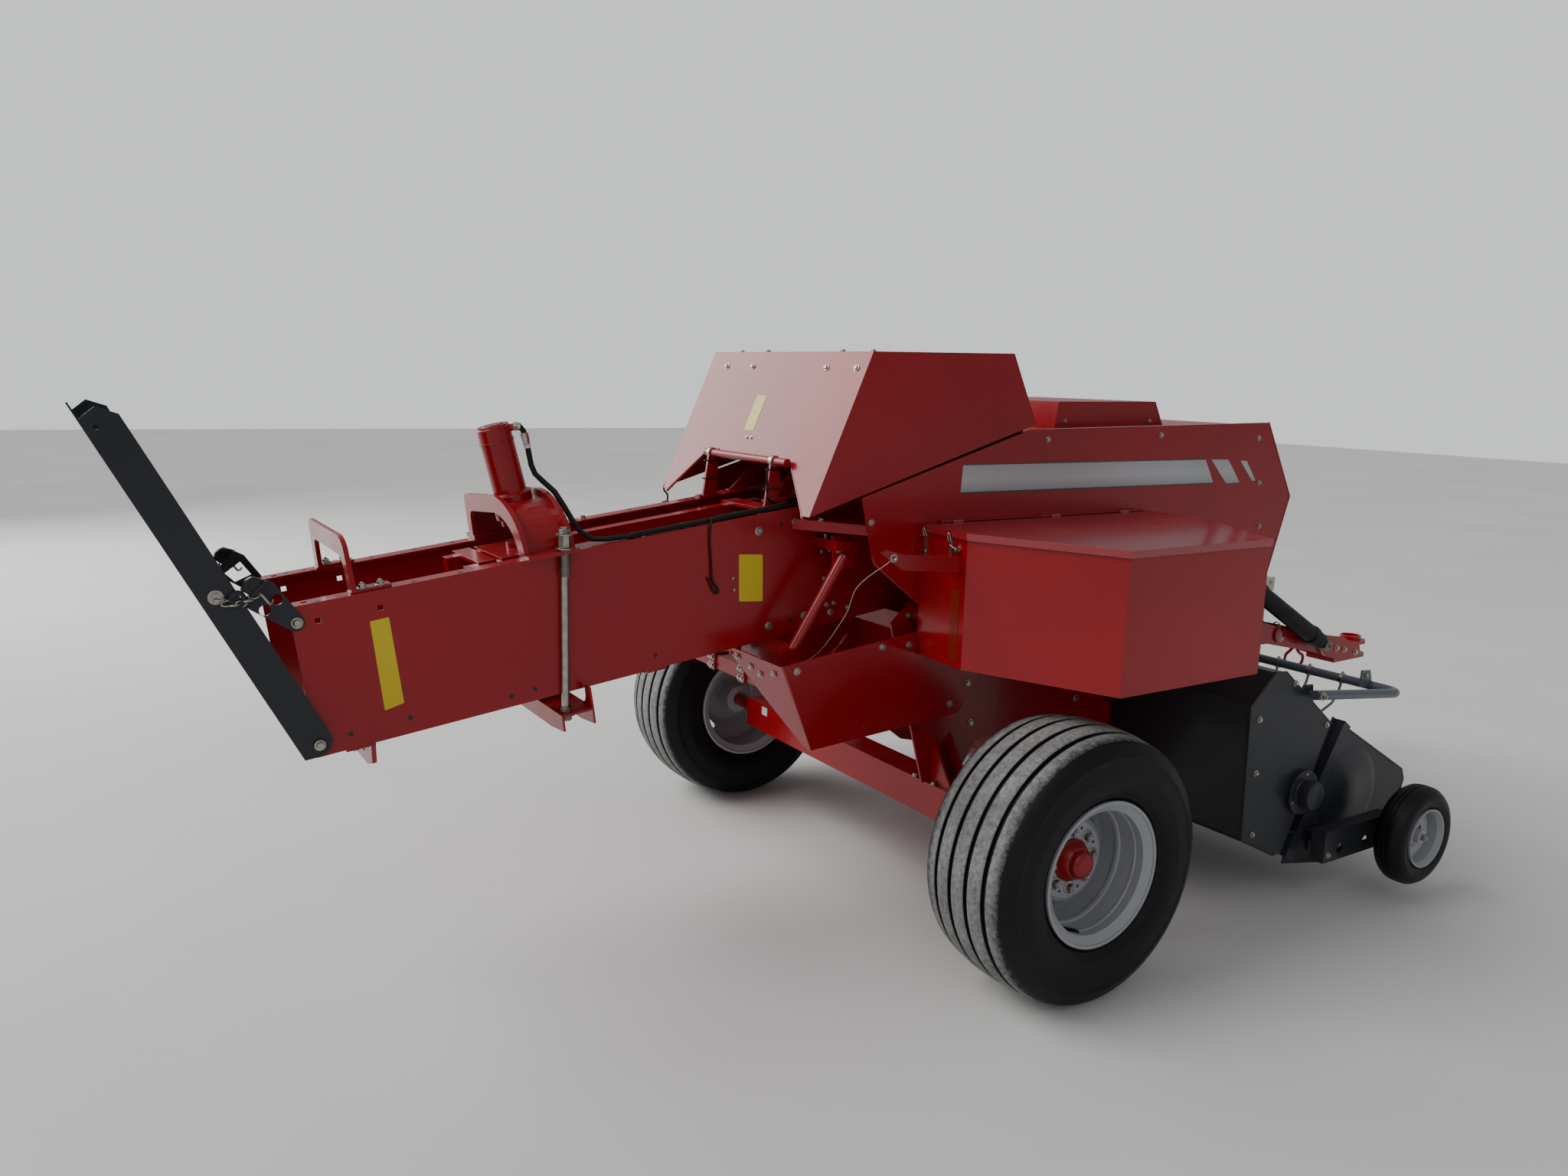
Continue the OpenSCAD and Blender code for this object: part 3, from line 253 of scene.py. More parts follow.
def bare_metal(name, color, rough, scratch=0.3, rust=0.0):
    g = Graph(name)
    tone = g.ramp(g.noise(40.0, 4.0, 0.6), (0.25, tuple(c * 0.7 for c in color)),
                  (0.75, tuple(min(1, c * 1.15) for c in color)))
    if rust:
        spots = g.ramp(g.noise(14.0, 6.0, 0.7), (1.0 - rust, 0.0), (1.12 - rust, 1.0))
        tone = g.mix(spots, tone, (0.19, 0.07, 0.028))
        g.set("Metallic", g.math("SUBTRACT", 1.0, g.times(spots, 0.8)))
    else:
        g.set("Metallic", 1.0)
    g.set("Base Color", tone)
    g.set("Roughness", g.math("ADD", g.times(g.noise(120.0, 3.0, 0.5), scratch), rough - scratch / 2, clamp=True))
    g.set("Normal", g.bump(g.noise(300.0, 2.0, 0.5), 0.12, 0.0003, g.soft_edges(0.0008)))
    return g.mat


def rubbery(name, color, rough=0.62, dust=0.2, grain=220.0, strength=0.25, mottle=False):
    g = Graph(name)
    tone = g.ramp(g.noise(6.0, 4.0), (0.3, tuple(c * 0.75 for c in color)), (0.7, tuple(c * 1.25 for c in color)))
    if mottle:
        # Worn pale on the crown, black again over the shoulders
        worn = g.ramp(g.noise(70.0, 6.0, 0.8), (0.34, 0.35), (0.62, 1.0))
        off = g.math("ABSOLUTE", g.math("SUBTRACT", g.math("ABSOLUTE", g.axis("Y")), HALF_TRACK / 1000))
        ragged = g.math("ADD", off, g.times(g.math("SUBTRACT", g.noise(55.0, 4.0, 0.7), 0.5), 0.05))
        crown = g.ramp(g.times(ragged, 5.0), (0.58, 1.0), (0.72, 0.0))
        tone = g.mix(g.times(worn, crown), (0.012, 0.012, 0.014), tone)
    mask = dust_mask(g, dust)
    g.set("Base Color", g.mix(mask, tone, DUST))
    g.set("Roughness", g.math("ADD", g.times(g.noise(30.0), 0.2), rough - 0.1, clamp=True))
    g.set("Specular IOR Level", 0.22)
    g.set("Normal", g.bump(g.noise(grain, 3.0), strength, 0.0006))
    return g.mat


RED = painted("red_paint", (0.29, 0.0030, 0.0085), rough=0.26, coat=0.22, dust=0.07, low=0.02,
              chips=(0.20, 0.012, 0.016))
DARK = painted("dark_paint", (0.0180, 0.0200, 0.0262), rough=0.40, coat=0.12, dust=0.05, low=0.02,
               chips=(0.08, 0.08, 0.08))
# A copy of the red paint for the twine lids, its colour lifted pinker as a painted reflection of the sky on these
# upward faces; its stronger coat and gleam are real gloss
LID_RED_PAINTED_REFLECTION = painted("lid_paint_painted_reflection", (0.31, 0.012, 0.020), rough=0.24, coat=0.75, dust=0.10, gleam=0.5)
BLACK = painted("black_paint", (0.010, 0.010, 0.011), rough=0.40, coat=0.3, dust=0.05)
STEEL_BLUE = painted("guard_paint", (0.085, 0.10, 0.125), rough=0.34, coat=0.4, dust=0.05)
BEIGE = painted("jack_plating", (0.50, 0.47, 0.38), rough=0.36, coat=0.2, dust=0.10)
SILVER = painted("rim_silver", (0.34, 0.35, 0.37), rough=0.32, coat=0.4, dust=0.14, low=0.05)
ZINC = bare_metal("zinc_steel", (0.44, 0.42, 0.37), 0.38, rust=0.16)
SPRING = bare_metal("spring_steel", (0.20, 0.20, 0.21), 0.45, rust=0.30)
CHROME = bare_metal("ram_chrome", (0.72, 0.72, 0.73), 0.12, 0.08)
IRON = painted("cast_grey", (0.07, 0.07, 0.075), rough=0.6, coat=0.0, dust=0.2, peel=0.3)
TYRE = rubbery("tyre_rubber", (0.0050, 0.0054, 0.0068), 0.46, 0.02, 260.0, 0.10)
TREAD = rubbery("tread_rubber", (0.27, 0.27, 0.262), 0.80, 0.15, 160.0, 0.6, mottle=True)
HOSE = rubbery("hose_rubber", (0.010, 0.010, 0.011), 0.5, 0.05, 400.0)
PLASTIC = rubbery("black_plastic", (0.012, 0.012, 0.013), 0.45, 0.08, 500.0, 0.1)
STRIPE = painted("stripe_film", (0.46, 0.47, 0.49), rough=0.30, coat=0.5, dust=0.04, peel=0.02, edge=0.0002,
                 fade=True)
STRIPE_DARK = painted("stripe_line", (0.05, 0.05, 0.055), rough=0.35, coat=0.3, dust=0.03, edge=0.0002)
YELLOW = painted("yellow_film", (0.60, 0.45, 0.012), rough=0.34, coat=0.3, dust=0.05, peel=0.02, edge=0.0002)
LENS = painted("red_lens", (0.20, 0.006, 0.008), rough=0.16, coat=0.9, dust=0.03, peel=0.02, edge=0.0005)
AMBER = painted("amber_strip", (0.20, 0.012, 0.003), rough=0.30, coat=0.2, dust=0.03, peel=0.02, edge=0.0002)
PALE_BAND = painted("pale_film", (0.62, 0.62, 0.60), rough=0.4, coat=0.2, dust=0.08, edge=0.0002)
TWINE = rubbery("cream_twine", (0.42, 0.36, 0.22), 0.8, 0.05, 900.0, 0.6)
BY_SLOT = {"red_paint": RED, "dark_paint": DARK, "black_paint": STEEL_BLUE, "jack_paint": BEIGE,
           "rim_silver": SILVER, "cast_grey": IRON, "zinc_steel": ZINC, "spring_steel": SPRING,
           "ram_chrome": CHROME, "tyre_rubber": TYRE, "hose_rubber": HOSE, "black_plastic": PLASTIC}
# The slot of a piece built here follows its first material. Films, lens and twine have none.
SLOT_OF = {mat.name: slot for slot, mat in BY_SLOT.items()}
SLOT_OF[BLACK.name] = "black_paint"
# The twine lids take the lid copy of the red, whose pinker colour is a painted sky reflection
for sub in frame["record"]["subparts"]:
    mesh = NODES[sub["node"]].data
    mesh.materials.clear()
    mesh.materials.append(LID_RED_PAINTED_REFLECTION if sub["node"].startswith("twine_lid") else BY_SLOT[sub["material_slot"]])


# ---------------------------------------------------------------- pieces built here
def basis(axis):
    n = Vector(axis).normalized()
    side = SKYWARD if abs(n.z) < 0.9 else Vector((1, 0, 0))
    u = side.cross(n).normalized()
    return u, n.cross(u), n


def smoothed(points, steps):
    """A curve through every point."""
    pts = [points[0]] + list(points) + [points[-1]]
    out = []
    for a, b, c, d in zip(pts, pts[1:], pts[2:], pts[3:]):
        for i in range(steps):
            t = i / steps
            out.append(0.5 * ((2 * b) + (c - a) * t + (2 * a - 5 * b + 4 * c - d) * t * t
                              + (3 * b - a - 3 * c + d) * t ** 3))
    return out + [points[-1]]


class Piece:
    """Shapes gathered into one object on one body. Radii, heights and thicknesses are in millimetres."""

    def __init__(self, name, mats, body=ROOT):
        self.name, self.body = name, body
        self.mats = mats if isinstance(mats, list) else [mats]
        self.slot = SLOT_OF.get(self.mats[0].name)
        self.bm = bmesh.new()

    def ring(self, centre, u, v, r, sides, turn=0.0):
        return [self.bm.verts.new(centre + (u * math.cos(a) + v * math.sin(a)) * (r / 1000))
                for a in (turn + 2 * math.pi * i / sides for i in range(sides))]

    def skin(self, a, b, mark=0):
        for i in range(max(len(a), len(b))):
            corners = [a[i % len(a)], a[(i + 1) % len(a)], b[(i + 1) % len(b)], b[i % len(b)]]
            self.bm.faces.new(list(dict.fromkeys(corners))).material_index = mark

    def lathe(self, place, axis, profile, sides=24, closed=False, marks=()):
        """profile is (radius, height along axis) from one end to the other."""
        u, v, n = basis(axis)
        rings = []
        for r, h in profile:
            c = place + n * (h / 1000)
            rings.append(self.ring(c, u, v, r, sides) if r else [self.bm.verts.new(c)])
        if closed:
            rings.append(rings[0])
        for i, (a, b) in enumerate(zip(rings, rings[1:])):
            self.skin(a, b, 1 if i in marks else 0)

    def tube(self, points, r, sides=10, steps=0):
        pts = smoothed(points, steps) if steps else list(points)
        u = basis(pts[1] - pts[0])[0]
        rings = []
        for i, p in enumerate(pts):
            way = (pts[min(i + 1, len(pts) - 1)] - pts[max(i - 1, 0)]).normalized()
            u = (u - way * u.dot(way)).normalized()
            rings.append(self.ring(p, u, way.cross(u), r, sides))
        for a, b in zip(rings, rings[1:]):
            self.skin(a, b)
        self.bm.faces.new(list(reversed(rings[0])))
        self.bm.faces.new(rings[-1])

    def slab(self, outline, offset):
        a = [self.bm.verts.new(p) for p in outline]
        b = [self.bm.verts.new(p + offset) for p in outline]
        self.bm.faces.new(list(reversed(a)))
        self.bm.faces.new(b)
        self.skin(a, b)

    def bolt(self, place, axis, r=8.0, washer=True, nut=False):
        """A chamfered hexagon head or nut over its washer."""
        turn = rng.random() * 1.05
        base = 0.0
        if washer:
            self.lathe(place, axis, [(0, 0), (r * 1.45, 0), (r * 1.45, r * 0.18), (r * 1.3, r * 0.24),
                                     (0, r * 0.24)], 16)
            base = r * 0.22
        tall = r * (0.95 if nut else 0.72)
        u, v, n = basis(axis)
        low = self.ring(place + n * (base / 1000), u, v, r, 6, turn)
        mid = self.ring(place + n * ((base + tall * 0.82) / 1000), u, v, r, 6, turn)
        top = self.ring(place + n * ((base + tall) / 1000), u, v, r * 0.84, 12, turn)
        self.skin(low, mid)
        for i in range(6):
            self.bm.faces.new([mid[i], mid[(i + 1) % 6], top[(2 * i + 2) % 12], top[2 * i + 1], top[2 * i]])
        self.bm.faces.new(top)
        if nut:
            self.lathe(place + n * ((base + tall * 0.9) / 1000), axis,
                       [(0, 0), (r * 0.5, 0), (r * 0.5, r * 0.5), (r * 0.4, r * 0.62), (0, r * 0.62)], 12)

    def bolts(self, places, axis, r):
        for place in places:
            self.bolt(place, axis, r)

    def done(self, bevel=0.0, angle=38):
        bmesh.ops.recalc_face_normals(self.bm, faces=self.bm.faces)
        mesh = bpy.data.meshes.new(self.name)
        self.bm.to_mesh(mesh)
        self.bm.free()
        for mat in self.mats:
            mesh.materials.append(mat)
        mesh.shade_smooth()
        mesh.set_sharp_from_angle(angle=math.radians(angle))
        o = bpy.data.objects.new(self.name, mesh)
        scene.collection.objects.link(o)
        if bevel:
            m = o.modifiers.new("edges", "BEVEL")
            m.width = bevel / 1000
            m.segments = 2
            m.limit_method = "ANGLE"
            m.angle_limit = math.radians(40)
            m.harden_normals = True
        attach(o, self.body)
        return o


SIDES = (("right", -1), ("left", 1))


def rounded(corners, radius, steps=4):
    """A flat outline with its corners rounded."""
    out = []
    n = len(corners)
    for i, p in enumerate(corners):
        a, b = corners[i - 1], corners[(i + 1) % n]
        da, db = (a - p).normalized(), (b - p).normalized()
        r = min(radius / 1000, (a - p).length / 2, (b - p).length / 2)
        s, e = p + da * r, p + db * r
        for k in range(steps + 1):
            t = k / steps
            out.append(s * (1 - t) ** 2 + p * 2 * t * (1 - t) + e * t * t)
    return out


# ---------------------------------------------------------------- tyres, rims and hubs
def tread_r(w):
    return TYRE_R - 20.0 * (abs(w) / 151.5) ** 2.4


def tyre_profile():
    """(radius, width) round the section, and the numbers of the strips that touch the ground."""
    half = [(186.8, 126), (195.4, 136.6), (210, 142), (219, 147), (221, 151), (226, 152), (229, 156), (244, 164.5),
            (262, 169.5), (278, 171.2), (284, 172.0), (290, 171.2), (318, 169), (330, 166.5), (333, 167.5),
            (337, 166.3), (350, 160), (361, 153.5), (369, 149), (373.5, 145)]
    left = [(r, -w) for r, w in half]
    tread, marks = [], []
    grooves = (-94.0, -31.5, 31.5, 94.0)
    edges = [-141.0] + [g + d for g in grooves for d in (-7.5, 7.5)] + [141.0]
    for k in range(0, len(edges), 2):
        a, b = edges[k], edges[k + 1]
        start = len(left) + len(tread)
        inner = [a + 2.2, a + 12, (a + b) / 2, b - 12, b - 2.2]
        tread += [(tread_r(a) - 2.2, a)] + [(tread_r(w), w) for w in inner] + [(tread_r(b) - 2.2, b)]
        marks += list(range(start, start + 6))
        if k < len(edges) - 2:
            g = b + 7.5
            tread += [(tread_r(g) - 11, b + 1.2), (tread_r(g) - 12.5, b + 4), (tread_r(g) - 12.5, g + 3.5),
                      (tread_r(g) - 11, g + 6.3)]
    return left + tread + list(reversed(half)), set(marks)


def main_wheels():
    profile, marks = tyre_profile()
    for name, side in SIDES:
        body = f"wheel_{name}_body"
        hub = at(0, side * HALF_TRACK, TYRE_R)
        out = across(side)
        tyre = Piece(f"tyre_detail_{name}", [TYRE, TREAD], body)
        tyre.lathe(hub, out, profile, 128, closed=True, marks=marks)
        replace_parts(tyre.done(angle=50), f"tyre_{name}")
        cap = Piece(f"hub_{name}", RED, body)
        cap.lathe(hub, out, [(61.4, 24), (62.6, 26), (62.6, 35), (60.5, 39), (47.5, 60), (44, 63.5), (40.5, 64),
                             (40.5, 76), (38, 79.5), (33, 84.5), (26, 86.6), (0, 87.2)], 40)
        for i in range(3):
            a = 2 * math.pi * i / 3
            cap.bolt(hub + out * 0.0635 + around(a) * 0.0435, out, 3.4, washer=False)
        cap.done()
        nuts = Piece(f"wheel_nuts_{name}", ZINC, body)
        # Dark discs between the nuts stand in for the rim's holes: painted shade inside the holes
        hole_shade = Piece(f"wheel_holes_{name}", DARK, body)
        for i in range(8):
            a = 2 * math.pi * i / 8
            spoke = around(a)
            nuts.bolt(hub + out * 0.0300 + spoke * 0.082, out, 13.0, nut=True)
            a += math.pi / 8
            hole_shade.lathe(hub + out * 0.0299 + around(a) * 0.094, out, [(4.6, 0), (4.6, 0.6), (0, 0.6)], 12)
        nuts.done()
        hole_shade.done()
        rim = Piece(f"rim_edge_{name}", SILVER, body)
        for w in (1, -1):
            rim.lathe(hub, out * w, [(200, 149), (201.5, 153.5), (206, 155), (210, 153.5), (211, 149.5)], 96)
        rim.lathe(hub, out, [(178.2, 98), (175.5, 101), (175.5, 106), (178.2, 109)], 96)
        rim.lathe(hub, out, [(178.2, 32), (173, 35), (171, 42), (173, 49), (178.2, 52)], 96)
        rim.done()
        a = math.radians(-118 if side < 0 else -62)
        spot = hub + around(a) * 0.176
        valve = Piece(f"valve_{name}", PLASTIC, body)
        tip = spot + out * 0.140 - (spot - hub) * 0.05
        valve.tube([spot + out * 0.102, spot + out * 0.118 - (spot - hub) * 0.02, tip], 5.4, 12)
        valve.lathe(tip, out, [(4.2, -2), (4.2, 8), (3.4, 10), (0, 10)], 12)
        valve.done()


GAUGE_X, GAUGE_Y, GAUGE_Z = 1470.0, 1140.0, 238.0


def gauge_wheels():
    half = [(93.8, 35), (101.5, 42), (108, 46.5), (113, 49), (122, 50.6), (128, 50.9), (130, 51.6), (134, 51.2),
            (146, 48.5), (156, 42.5), (163, 34), (166.5, 27)]
    crown = [(168.2, -26), (169.6, -19), (170.4, -9.6), (167.6, -8.4), (167.6, -5.6), (170.6, -4.4), (170.8, 0),
             (170.6, 4.4), (167.6, 5.6), (167.6, 8.4), (170.4, 9.6), (169.6, 19), (168.2, 26)]
    profile = [(r, -w) for r, w in half] + crown + list(reversed(half))
    for name, side in SIDES:
        body = f"gauge_{name}_body"
        hub = at(GAUGE_X, side * GAUGE_Y, GAUGE_Z)
        out = across(side)
        tyre = Piece(f"gauge_tyre_detail_{name}", TYRE, body)
        tyre.lathe(hub, out, profile, 96, closed=True)
        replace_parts(tyre.done(angle=50), f"gauge_tyre_{name}")
        rim = Piece(f"gauge_rim_edge_{name}", SILVER, body)
        rim.lathe(hub, out, [(96, 49.5), (97, 51.6), (99.5, 52.2), (101.4, 51), (101.4, 49)], 72)
        rim.lathe(hub, out, [(87, 2), (80, 6.5), (70, 8), (58, 5), (50, 2.2)], 72)
        rim.done()
        # Dark discs in the rim stand in for its holes: painted shade inside the holes
        hole_shade = Piece(f"gauge_wheel_holes_{name}", DARK, body)
        bolts = Piece(f"gauge_hub_bolt_{name}", ZINC, body)
        for i in range(3):
            spoke = around(2 * math.pi * i / 3 + 0.4)
            hole_shade.lathe(hub + out * 0.0021 + spoke * 0.040, out, [(6.5, 0), (6.5, 0.7), (0, 0.7)], 16)
        bolts.bolt(hub + out * 0.0320, out, 11.0, nut=True)
        hole_shade.done()
        bolts.done()


main_wheels()
gauge_wheels()


# ---------------------------------------------------------------- stripes and blank plates
def side_plates():
    for name, side in SIDES:
        y = side * (SHIELD_Y + 0.05)
        lift = across(side * 0.0007)
        stripe = Piece(f"stripe_{name}", STRIPE)
        for pts, r in (([(-15, 1464), (-21, 1374), (1158, 1371), (1100, 1462)], 6),
                       ([(1134, 1458), (1227, 1456), (1302, 1373), (1226, 1371)], 3),
                       ([(1296, 1451), (1331, 1450), (1393, 1377), (1373, 1376)], 2)):
            stripe.slab(rounded(in_plane(y, pts), r), lift)
        stripe.done()
        edge = Piece(f"stripe_edge_{name}", STRIPE_DARK)
        for pts in ([(-21, 1374), (-20, 1379), (1155, 1376), (1158, 1371)],
                    [(-15, 1464), (-15, 1460), (1103, 1458), (1100, 1462)]):
            edge.slab(in_plane(y + side * 0.72, pts), lift * 0.3)
        edge.done()
        y = side * (HALF_W + 0.05)
        plates = Piece(f"chamber_plates_{name}", YELLOW)
        plates.slab(rounded(in_plane(y, ((-662, 1196), (-581, 1191), (-578, 1050), (-659, 1056))), 5), lift)
        plates.slab(rounded(in_plane(y, ((-1709, 1093), (-1663, 1100), (-1633, 876), (-1681, 862))), 3), lift)
        plates.done()


side_plates()


HOOD_FOOT = at(-568.0, 0, 1325.0)
HOOD_WAY = (at(HOOD_BACK, 0, 1786.0) - HOOD_FOOT).normalized()


def hood_face(y, up):
    """A point on the hood's rear face: across, and along the slope from its lower edge."""
    return HOOD_FOOT + HOOD_WAY * (up / 1000) + across(y / 1000)


def hood_details():
    out = Vector((-HOOD_WAY.z, 0, HOOD_WAY.x)).normalized()
    bolts = Piece("hood_bolts", ZINC, "hood_body")
    for y in (337, 168, -255, -406):
        bolts.bolt(hood_face(y, 452), out, 7.5)
        bolts.bolt(at(-330, y, HOOD_TOP + (-330 - HOOD_BACK) * 10 / 534 - 4), SKYWARD, 7.5)
    for y in (34, 10):
        bolts.bolt(hood_face(y, 212), out, 5.0)
    bolts.done()
    plate = Piece("hood_plate", YELLOW, "hood_body")
    plate.slab(rounded([hood_face(y, u) for y, u in ((72, 236), (14, 236), (14, 354), (72, 354))], 4),
               out * 0.0008)
    plate.done()
    # Rolled lip round the opening in the rear face
    lip = Piece("hood_lip", RED, "hood_body")
    for side in (-1, 1):
        lip.tube([hood_face(side * y, u) - out * 0.004
                  for y, u in ((422, -6), (404, 14), (250, 157), (247, 160), (0, 160))], 5, 8)
    lip.tube([hood_face(y, 160) - out * 0.012 for y in (-250, -120, 0, 120, 250)], 13, 14)
    lip.done()


hood_details()


# ---------------------------------------------------------------- bolts, rivets, and holes drawn as painted shade
def deck_z(x):
    return 1566 + (x - 262) * 21 / 1179


def chamber_floor(x):
    return CHAMBER_LOW + (x + CHAMBER_BACK) * math.tan(SLOPE)


def chamber_details():
    zinc = Piece("chamber_bolts", ZINC)
    dark = Piece("chamber_hole_shade", DARK)
    for side, out in BOTH_WAYS:
        y = side * (HALF_W + 0.02)
        zinc.bolts(in_plane(y, ((-596, 1262), (-467, 1283), (-554, 972), (-427, 992))), out, 9.5)
        # Dark discs stand in for round holes in the side: painted shade inside the holes
        for x, z in ((-519, 1277), (-477, 984), (-930, 923), (-1353, 856), (-1288, 868), (-1765, 813),
                     (-1619, 834)):
            dark.lathe(at(x, y, z), out, [(6.5, 0), (6.5, 0.5), (0, 0.5)], 14)
        for x, z in ((-679, 1126), (-674, 1091)):
            zinc.lathe(at(x, y, z), out, [(5, 0), (4.6, 1.4), (3, 2.4), (0, 2.8)], 12)
        # Rows of bolts along the flanges, and square holes drawn as dark sheets of painted shade
        for s in (178, 222, 940, 1460):
            raised = s < 240
            zinc.bolt(on_chamber(s, side * 214, CHAMBER_H + (8.4 if raised else 0.05)), CHAMBER_UP, 9.0, nut=raised)
        for s in (70, 118, 300, 420, 530, 900, 1100, 1300):
            c = on_chamber(s, side * 216, CHAMBER_H + 0.05)
            a, b = CHAMBER_ALONG * 0.0065, across(0.0065)
            dark.slab([c - a - b, c + a - b, c + a + b, c - a + b], CHAMBER_UP * 0.0004)
        for s in (95, 120, 905, 950, 1425, 1470):
            zinc.bolt(on_chamber(s, side * 205, -8.5), -CHAMBER_UP, 8.0)
        # Lower flange row towards the frame
        for x in (-398, -330, -262):
            zinc.bolt(at(x, y, chamber_floor(x) + 34), out, 8.5)
        # Chute pivot and hanger pivot bolts
        zinc.bolt(on_chamber(8, side * 257, 38), out, 9.5)
        zinc.bolt(at(-1877.0, side * 240.6, 1106), out, 9.5)
        # Two columns of bolts where the channels meet the case
        for s in (1520, 1548):
            for k in range(4):
                zinc.bolt(on_chamber(s, y, 60 + 86 * k), out, 6.0)
    zinc.done()
    dark.done()
    # Welds at the foot of the arch and the yoke
    weld = Piece("chamber_welds", RED)
    for s in (149, 163):
        for side in (-1, 1):
            weld.tube([on_chamber(s, side * y, CHAMBER_H + 1.5) for y in (185, 195, 205, 215, 222)], 3, 8)
    weld.done()


def box_rear(side, y, z, off=0.0):
    """A point on, or off, the rear face of a twine box."""
    return at(-165 - 15 * (y - SHIELD_Y) / (680 - SHIELD_Y) - off, side * y, z)


def panel_details():
    zinc = Piece("panel_bolts", ZINC)
    for side, out in BOTH_WAYS:
        zinc.bolts(in_plane(side * (SHIELD_Y + 0.1), ((1389, 1532), (1414, 1369), (1439, 1207), (-351, 1301),
                                                      (1300, 960), (330, 1535), (860, 1546), (1440, 1010),
                                                      (-120, 1010))), out, 7.0)
        # Deck edge screws
        for x in (420, 620, 860, 1100, 1330):
            zinc.bolt(at(x, side * 436, deck_z(x) - 11.5), SKYWARD, 6.0)
    for y in (-300, -100, 100, 300):
        zinc.bolt(at(1485, y, 1505), Vector((0.9, 0, 0.4)), 6.5)
    for x in (560, 980):
        for side, out in BOTH_WAYS:
            zinc.bolt(at(x, side * (DECK_BOX_HALF + 0.2), 1585), out, 5.5)
    zinc.done()
    # Folded lips of the shields, seals along the deck
    lip = Piece("shield_lips", RED)
    for side in (-1, 1):
        y = side * 453.5
        low = [(1482, 922), (1300, 905), (700, 940), (0, 960), (-110, 985), (-164, 1051), (-331, 1179),
               (-343, 1200)]
        lip.tube(in_plane(y, low), 4.5, 8)
        lip.tube(in_plane(y, ((1441, 1587), (1608, 1313), (1482, 922))), 4.5, 8)
    lip.done()
    seal = Piece("deck_edge_strip", SILVER)
    for side in (-1, 1):
        seal.tube([at(x, side * 449, deck_z(x) - 3.2) for x in (330, 700, 1050, 1425)], 4.2, 8)
    seal.done()
    latch = Piece("twine_lid_latches", ZINC)
    strip = Piece("twine_box_strips", AMBER)
    for side, out in BOTH_WAYS:
        # Strap and clamp on the box's rear face, its loop over the lid
        rear = partial(box_rear, side)
        for y in (478, 600):
            latch.slab(rounded([rear(y, 1181, 1.0), rear(y + 15, 1181, 1.0),
                                rear(y + 15, 1268, 1.0), rear(y, 1268, 1.0)], 5), Vector((-0.003, 0, 0)))
            latch.bolt(rear(y + 7.5, 1192, 4.0), REARWARD, 4.5, washer=False)
            latch.bolt(rear(y + 7.5, 1214, 4.0), REARWARD, 4.5, washer=False)
            latch.tube([rear(y + 2, 1258, 6), rear(y + 2, 1274, 12), rear(y + 7.5, 1282, 14),
                        rear(y + 13, 1274, 12), rear(y + 13, 1258, 6)], 2.2, 8, 4)
        strip.slab(rounded([rear(y, z, 0.1) for y, z in ((616, 1122), (658, 1122), (658, 912), (616, 912))], 6),
                   Vector((-0.0009, 0, 0)))
        # Wing nut near the outer corner
        c = rear(640, 1238, 0.4)
        latch.lathe(c, REARWARD, [(9, 0), (9, 3), (6, 4), (6, 12), (4, 14), (0, 14)], 14)
        for w in (-1, 1):
            tip = c + Vector((-0.014, side * w * 0.020, 0.012))
            latch.tube([c + Vector((-0.008, 0, 0)), tip], 3.0, 8)
        # Rim of the eye in the twine arm
        eye = at(-425, side * 660.5, 1232)
        latch.lathe(eye, out, [(7.2, -4), (11.5, -4), (12.5, -3), (12.5, 3), (11.5, 4), (7.2, 4)], 20, closed=True)
    latch.done()
    strip.done()
    twine = Piece("twine_strands", TWINE)
    for side in (-1, 1):
        path = ((-425, 660.5, 1230), (-430, 640, 1214), (-440, 520, 1130), (-420, 430, 1020), (-470, 330, 880),
                (-530, 150, 835))
        twine.tube([at(x, side * y, z) for x, y, z in path], 1.2, 6, 5)
    twine.done()


def guard_details():
    zinc = Piece("guard_bolts", ZINC)
    shoes = Piece("needle_shoes", RED)
    zinc.bolts(in_plane(-466.1, ((-300, 930), (-200, 926), (-600, 890), (-30, 720), (40, 778))), RIGHT_OUT, 8.0)
    for y, z in ((-264, 862), (-312, 850), (-400, 872), (-200, 880)):
        zinc.bolt(at(-631.5 + (862 - z) * 0.4 - 0.6, y, z), Vector((-0.928, 0, -0.372)), 7.5)
    for side, out in BOTH_WAYS:
        # Needle clamps, yoke arm pivots and brace bolts
        for dz in (-14, 14):
            zinc.bolt(at(-566.2, side * 86, 795 + dz), REARWARD, 7.5)
            zinc.bolt(at(-566.2, side * 104, 795 + dz), REARWARD, 7.5)
        shoe = [(-503, 780), (-488, 782), (-468, 806), (-462, 828), (-478, 842), (-503, 822)]
        shoes.slab(in_plane(side * 84, shoe), out * 0.022)
        zinc.bolts(in_plane(side * 400.1, ((-150, 1000), (120, 620), (330, 480), (560, 330), (740, 820),
                                           (1300, 1050), (200, 950), (600, 640))), out, 9.0)
        zinc.bolt(at(-380, side * 340.2, 1208), out, 9.0)
        for y in (255, 290, 325):
            zinc.bolt(at(-370, side * y, 1236.1), SKYWARD, 8.0)
        for x, z in ((-420, 1277), (-330, 1277)):
            zinc.bolt(at(x, side * (300 if x < -400 else 425), 1292.1), SKYWARD, 8.0)
    zinc.done()
    shoes.done(1.0)


